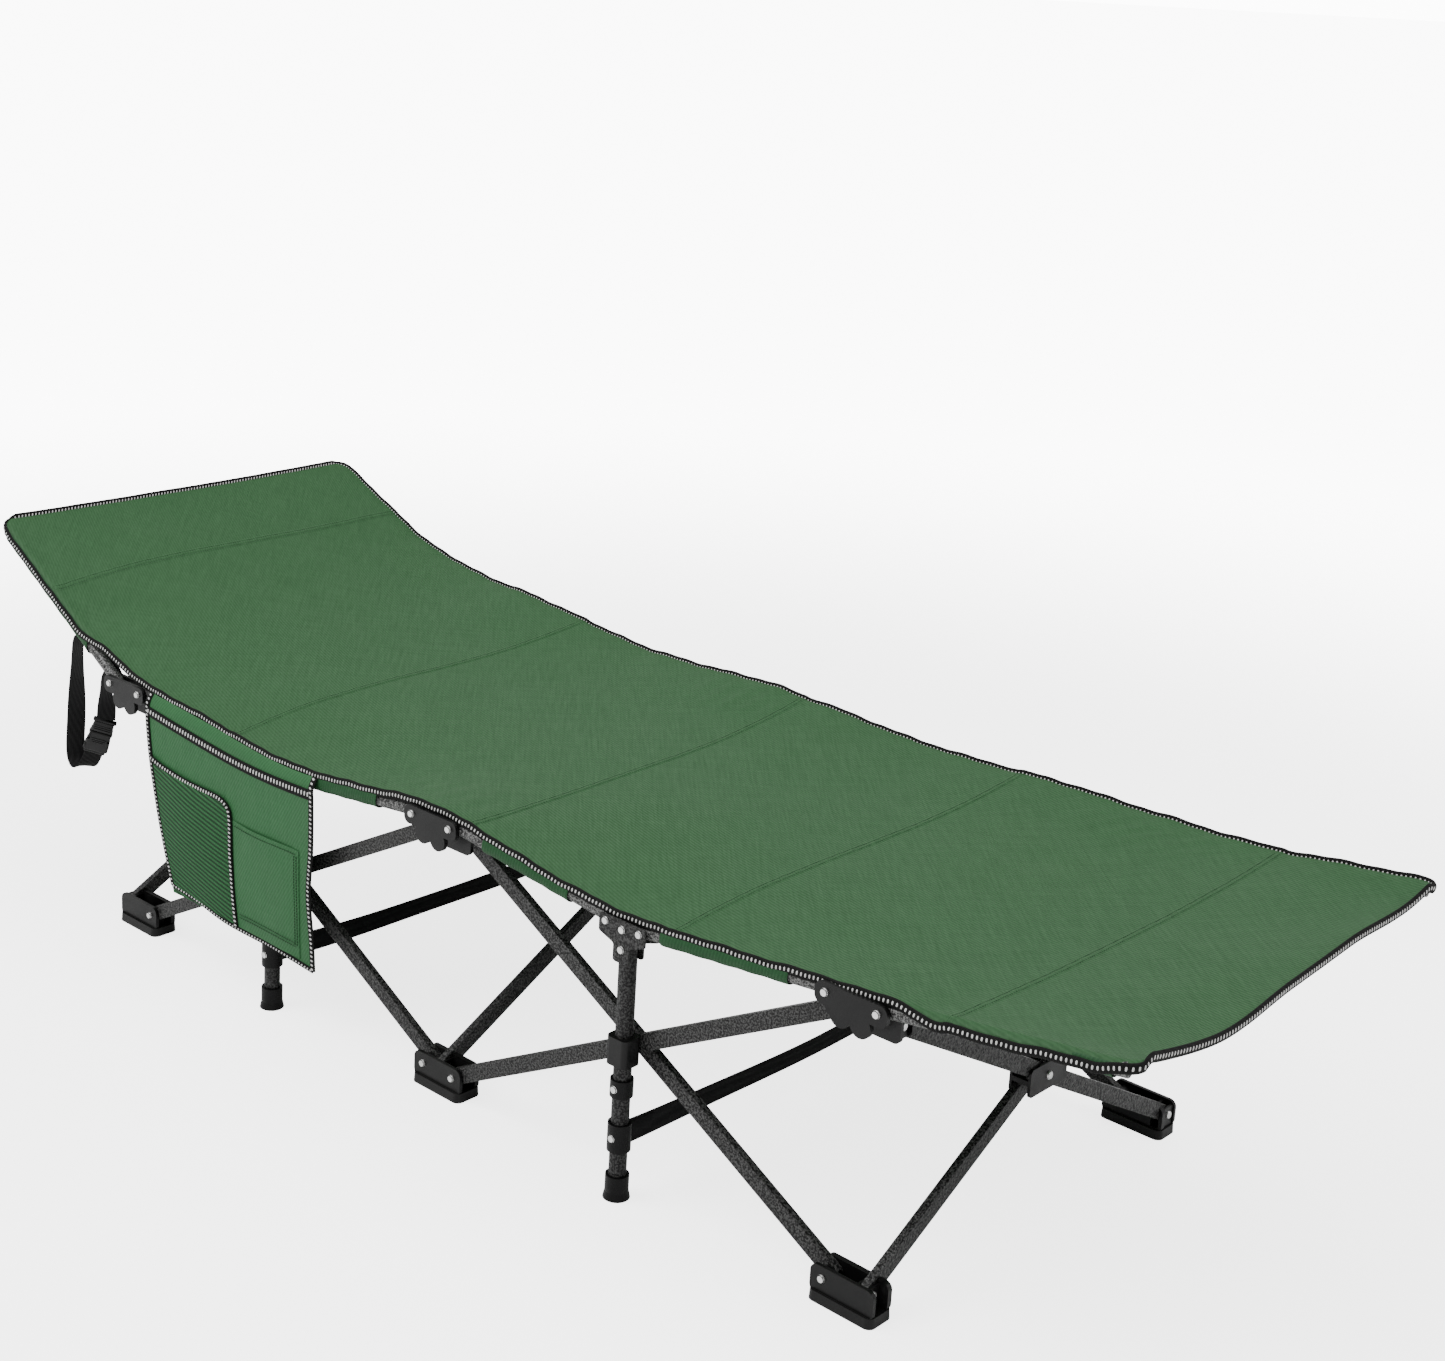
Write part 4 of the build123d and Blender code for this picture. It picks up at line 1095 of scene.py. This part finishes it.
# ---- the carry strap's buckle
buckle = {
    "width": 0.033, "socket": 0.036, "plug": 0.019, "thick": 0.0105, "bevel": 0.0016,
    # small bars across the two halves: size, middle, edge rounding
    "socketBars": (((0.0220, 0.0122, 0.0016), (0, 0, -0.0020), 0.0006),
                   ((0.0190, 0.0120, 0.0012), (0, 0, -0.0055), 0.0005),
                   ((0.0160, 0.0118, 0.0012), (0, 0, -0.0085), 0.0005)),
    "plugBars": (((0.0250, 0.0104, 0.0012), (0, 0, 0.0150), 0.0005),
                 ((0.0250, 0.0104, 0.0012), (0, 0, 0.0185), 0.0005),
                 ((0.0250, 0.0104, 0.0012), (0, 0, 0.0220), 0.0005),
                 ((0.0330, 0.0072, 0.0050), (0, 0, 0.0300), 0.0020),
                 ((0.0300, 0.0086, 0.0050), (0, 0, -0.0282), 0.0018)),
    "front": (0.80, -0.60, 0.0),
}


def boxPiece(size, centre, bevel, segments=3):
    deselectAll()
    bpy.ops.mesh.primitive_cube_add(size=1, location=centre, scale=size)
    piece = bpy.context.object
    settle(piece)
    addModifier(piece, "BEVEL", width=bevel, segments=segments, limit_method="ANGLE")
    return piece


def tapered(piece, high, narrow):
    # the vertices above a height drawn in towards the middle
    for vertex in piece.data.vertices:
        if vertex.co.z > high:
            vertex.co.x *= narrow


def makeBuckle():
    # built upright about the origin: the socket below, the plug above
    parts = []
    socket = boxPiece((buckle["width"], buckle["thick"], buckle["socket"]), (0, 0, -0.0085), buckle["bevel"] * 1.6, 4)
    parts.append(socket)
    for side in (-1, 1):
        window = boxPiece((0.0050, 0.0122, 0.0130), (side * 0.0148, 0, 0.0005), 0.0010)
        bpy.context.view_layer.objects.active = socket
        addModifier(socket, "BOOLEAN", operation="DIFFERENCE", object=window, solver="EXACT")
        bpy.data.objects.remove(window)
        parts.append(boxPiece((0.0046, 0.0062, 0.0230), (side * 0.0133, 0, 0.0040), 0.0014))
        parts.append(boxPiece((0.0030, 0.0112, 0.0100), (side * 0.0158, 0, -0.0190), 0.0010))
    parts += [boxPiece(*bar) for bar in buckle["socketBars"]]
    plug = boxPiece((0.0300, 0.0088, buckle["plug"]), (0, 0, 0.0195), 0.0018)
    tapered(plug, 0.024, 0.93)
    parts.append(plug)
    parts += [boxPiece(*bar) for bar in buckle["plugBars"]]
    piece = joinPieces(parts, "carryBuckle")
    low, high = Vector(carry["buckleLow"]), Vector(carry["buckleHigh"])
    up = (high - low).normalized()
    front = Vector(buckle["front"])
    front = (front - up * front.dot(up)).normalized()
    across = up.cross(front) * -1
    turn = Matrix((across, -front, up)).transposed().to_4x4()
    piece.data.transform(Matrix.Translation((low + high) / 2) @ turn)
    return piece


piece = makeBuckle()
finishPiece(piece, "carryBuckle", "hub_near_head", [materials["bucklePlastic"]], 30)
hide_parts("carry_strap_buckle")
print("buckle made")


# ---- bright rivet heads
rivet = {
    "radius": 0.0049, "height": 0.0027, "points": 24, "bevel": 0.0016,
    "barSideways": 0.0265, "layerStep": 0.00525,
    # how far out each face is, and how high the pins are
    "hubFace": 0.3284, "footFace": 0.3054, "innerFace": 0.2731, "bracketFace": 0.3267,
    "lugMiddle": 0.29025, "lugHalf": 0.0082, "topPinZ": 0.340, "lowPinZ": 0.028,
    "bracketZ": (0.332, 0.308), "collarZ": (0.077, 0.138), "bracketHeight": 0.0020,
    "blockHalf": 0.0139, "blockZ": 0.184, "blockRadius": 0.0052,
}


def makeRivetHead(radius, height):
    deselectAll()
    bpy.ops.mesh.primitive_cylinder_add(vertices=rivet["points"], radius=radius, depth=height,
                                        location=(0, 0, height / 2))
    head = bpy.context.object
    settle(head)
    bpy.ops.object.mode_set(mode="EDIT")
    bpy.ops.mesh.select_all(action="DESELECT")
    mesh = bmesh.from_edit_mesh(head.data)
    for edge in mesh.edges:
        edge.select = all(v.co.z > height * 0.9 for v in edge.verts)
    bmesh.update_edit_mesh(head.data)
    bpy.ops.mesh.bevel(offset=min(rivet["bevel"], height * 0.75), segments=3, profile=0.55)
    bpy.ops.object.mode_set(mode="OBJECT")
    return head


def placeRivets(name, body, places, radius=rivet["radius"], height=rivet["height"]):
    # places are (base point, outward direction)
    master = makeRivetHead(radius, height)
    copies = []
    for base, direction in places:
        copy = master.copy()
        copy.data = master.data.copy()
        bpy.context.scene.collection.objects.link(copy)
        turn = Vector((0, 0, 1)).rotation_difference(Vector(direction)).to_matrix().to_4x4()
        copy.data.transform(Matrix.Translation(Vector(base)) @ turn)
        copies.append(copy)
    bpy.data.objects.remove(master)
    piece = joinPieces(copies, name)
    finishPiece(piece, name, body, [materials["brightRivet"]], 45)


barSideways, layerStep = rivet["barSideways"], rivet["layerStep"]
for side, sign in sideNames.items():
    for station, way in stationNames.items():
        middle = way * hubPitch
        barPlaces = [middle + way * -barSideways] if way else [middle - barSideways, middle + barSideways]
        lugHub = middle + way * barSideways - sign * layerStep
        lugFoot = middle + way * barSideways + sign * layerStep
        places = [((middle + d, sign * rivet["hubFace"], hubRailZ), (0, sign, 0)) for d in (-hubPinOut, hubPinOut)]
        places += [((x, sign * rivet["innerFace"], rivet["topPinZ"]), (0, -sign, 0)) for x in barPlaces]
        places += [((lugHub + d * rivet["lugHalf"], sign * rivet["lugMiddle"], rivet["topPinZ"]), (d, 0, 0))
                   for d in (-1, 1)]
        placeRivets(f"rivets{side.title()}Hub{station.title()}", f"hub_{side}_{station}", places)
        places = [((x, sign * rivet["footFace"], rivet["lowPinZ"]), (0, sign, 0)) for x in barPlaces]
        places += [((x, sign * rivet["innerFace"], rivet["lowPinZ"]), (0, -sign, 0)) for x in barPlaces]
        places += [((lugFoot + d * rivet["lugHalf"], sign * rivet["lugMiddle"], rivet["lowPinZ"]), (d, 0, 0))
                   for d in (-1, 1)]
        placeRivets(f"rivets{side.title()}Foot{station.title()}", f"foot_{side}_{station}", places)
    for bay, way in (("head", -1), ("foot", 1)):
        x = way * hubPitch / 2
        face = sign * rivet["bracketFace"]
        places = [((x, face, z), (0, sign, 0)) for z in rivet["bracketZ"]]
        places += [((x + d, face, bracketRailZ), (0, sign, 0)) for d in (-bracketPinOut, bracketPinOut)]
        places += [((x, face, z), (0, sign, 0)) for z in rivet["collarZ"]]
        placeRivets(f"rivets{side.title()}Leg{bay.title()}", f"leg_{side}_{bay}", places,
                    height=rivet["bracketHeight"])
for station, way in stationNames.items():
    middle = way * (hubPitch + barSideways)
    places = [((middle + d * rivet["blockHalf"], 0, rivet["blockZ"]), (d, 0, 0)) for d in (-1, 1)]
    placeRivets(f"rivetsBlock{station.title()}", f"cross_block_{station}", places, radius=rivet["blockRadius"])
print("rivets made")


# ---- floor, light and camera
studio = {
    "floorSize": 300.0, "floorZ": -0.0005, "floorColour": (0.90, 0.90, 0.90), "floorRoughness": 0.35,
    "world": (1.0, 1.0, 1.0), "worldStrength": 0.72,
    "backdropStrength": 12.0, "floorGlow": 3.2, "farGlow": 9.5, "glowFrom": 1.3, "glowTo": 4.2,
    "lights": (("keyLight", (-1.6, -2.6, 3.4), 3.0, 170.0), ("fillLight", (3.0, 1.4, 2.6), 3.0, 60.0),
               ("topLight", (0.0, 0.0, 4.2), 4.5, 120.0)),
}
deselectAll()
bpy.ops.mesh.primitive_grid_add(x_subdivisions=8, y_subdivisions=8, size=studio["floorSize"],
                                location=(0, 0, studio["floorZ"]))
floor = bpy.context.object
floor.name = "studioFloor"
settle(floor)
floorMaterial, floorTree, floorShader, floorCoordinates = newMaterial("paleFloor")
mottle = addNode(floorTree, "ShaderNodeTexNoise", {"Vector": floorCoordinates.outputs["Object"], "Scale": 1.5})
floorTree.links.new(mixColour(floorTree, mottle.outputs[0], [c * 0.99 for c in studio["floorColour"]],
                              studio["floorColour"]), floorShader.inputs["Base Color"])
floorShader.inputs["Roughness"].default_value = studio["floorRoughness"]
floorShader.inputs["Emission Color"].default_value = (1.0, 1.0, 1.0, 1.0)
lookedAt = addNode(floorTree, "ShaderNodeLightPath")
# the floor brightens into the backdrop away from the object
reach = addNode(floorTree, "ShaderNodeVectorMath", {0: floorCoordinates.outputs["Object"]}, operation="LENGTH")
glow = addNode(floorTree, "ShaderNodeMapRange",
               {0: reach.outputs["Value"], 1: studio["glowFrom"], 2: studio["glowTo"],
                3: studio["floorGlow"], 4: studio["farGlow"]}, interpolation_type="SMOOTHSTEP")
floorTree.links.new(mathNode(floorTree, "MULTIPLY", lookedAt.outputs["Is Camera Ray"], glow.outputs[0]),
                    floorShader.inputs["Emission Strength"])
floor.data.materials.append(floorMaterial)

world = bpy.data.worlds.new("studioWorld")
world.use_nodes = True
bpy.context.scene.world = world
background = world.node_tree.nodes["Background"]
background.inputs[0].default_value = (*studio["world"], 1.0)
background.inputs[1].default_value = studio["worldStrength"]
backdrop = addNode(world.node_tree, "ShaderNodeBackground", {1: studio["backdropStrength"]})
backdrop.inputs[0].default_value = (*studio["world"], 1.0)
seen = addNode(world.node_tree, "ShaderNodeLightPath")
chosen = addNode(world.node_tree, "ShaderNodeMixShader", {0: seen.outputs["Is Camera Ray"],
                                                          1: background.outputs[0], 2: backdrop.outputs[0]})
world.node_tree.links.new(chosen.outputs[0], world.node_tree.nodes["World Output"].inputs[0])
for name, location, size, power in studio["lights"]:
    data = bpy.data.lights.new(name, "AREA")
    data.shape, data.size, data.energy = "DISK", size, power
    lamp = bpy.data.objects.new(name, data)
    lamp.location = location
    lamp.rotation_euler = (Vector((0, 0, 0.25)) - Vector(location)).to_track_quat("-Z", "Y").to_euler()
    bpy.context.scene.collection.objects.link(lamp)

view = {"place": (1.85445, -2.01147, 1.36470), "yaw": -0.7499, "pitch": 0.2472, "roll": 0.0475,
        "lens": 55.74, "sensor": 36.0, "shiftX": 0.0709, "shiftY": -0.1062}
ahead = Vector((sin(view["yaw"]) * cos(view["pitch"]), cos(view["yaw"]) * cos(view["pitch"]), -sin(view["pitch"])))
level = ahead.cross(Vector((0, 0, 1))).normalized()
rising = level.cross(ahead)
right = level * cos(view["roll"]) + rising * sin(view["roll"])
up = rising * cos(view["roll"]) - level * sin(view["roll"])
cameraData = bpy.data.cameras.new("studioCamera")
cameraData.lens, cameraData.sensor_width = view["lens"], view["sensor"]
cameraData.shift_x, cameraData.shift_y = view["shiftX"], view["shiftY"]
camera = bpy.data.objects.new("studioCamera", cameraData)
camera.matrix_world = Matrix.Translation(view["place"]) @ Matrix((right, up, -ahead)).transposed().to_4x4()
bpy.context.scene.collection.objects.link(camera)
bpy.context.scene.camera = camera
print("studio set")
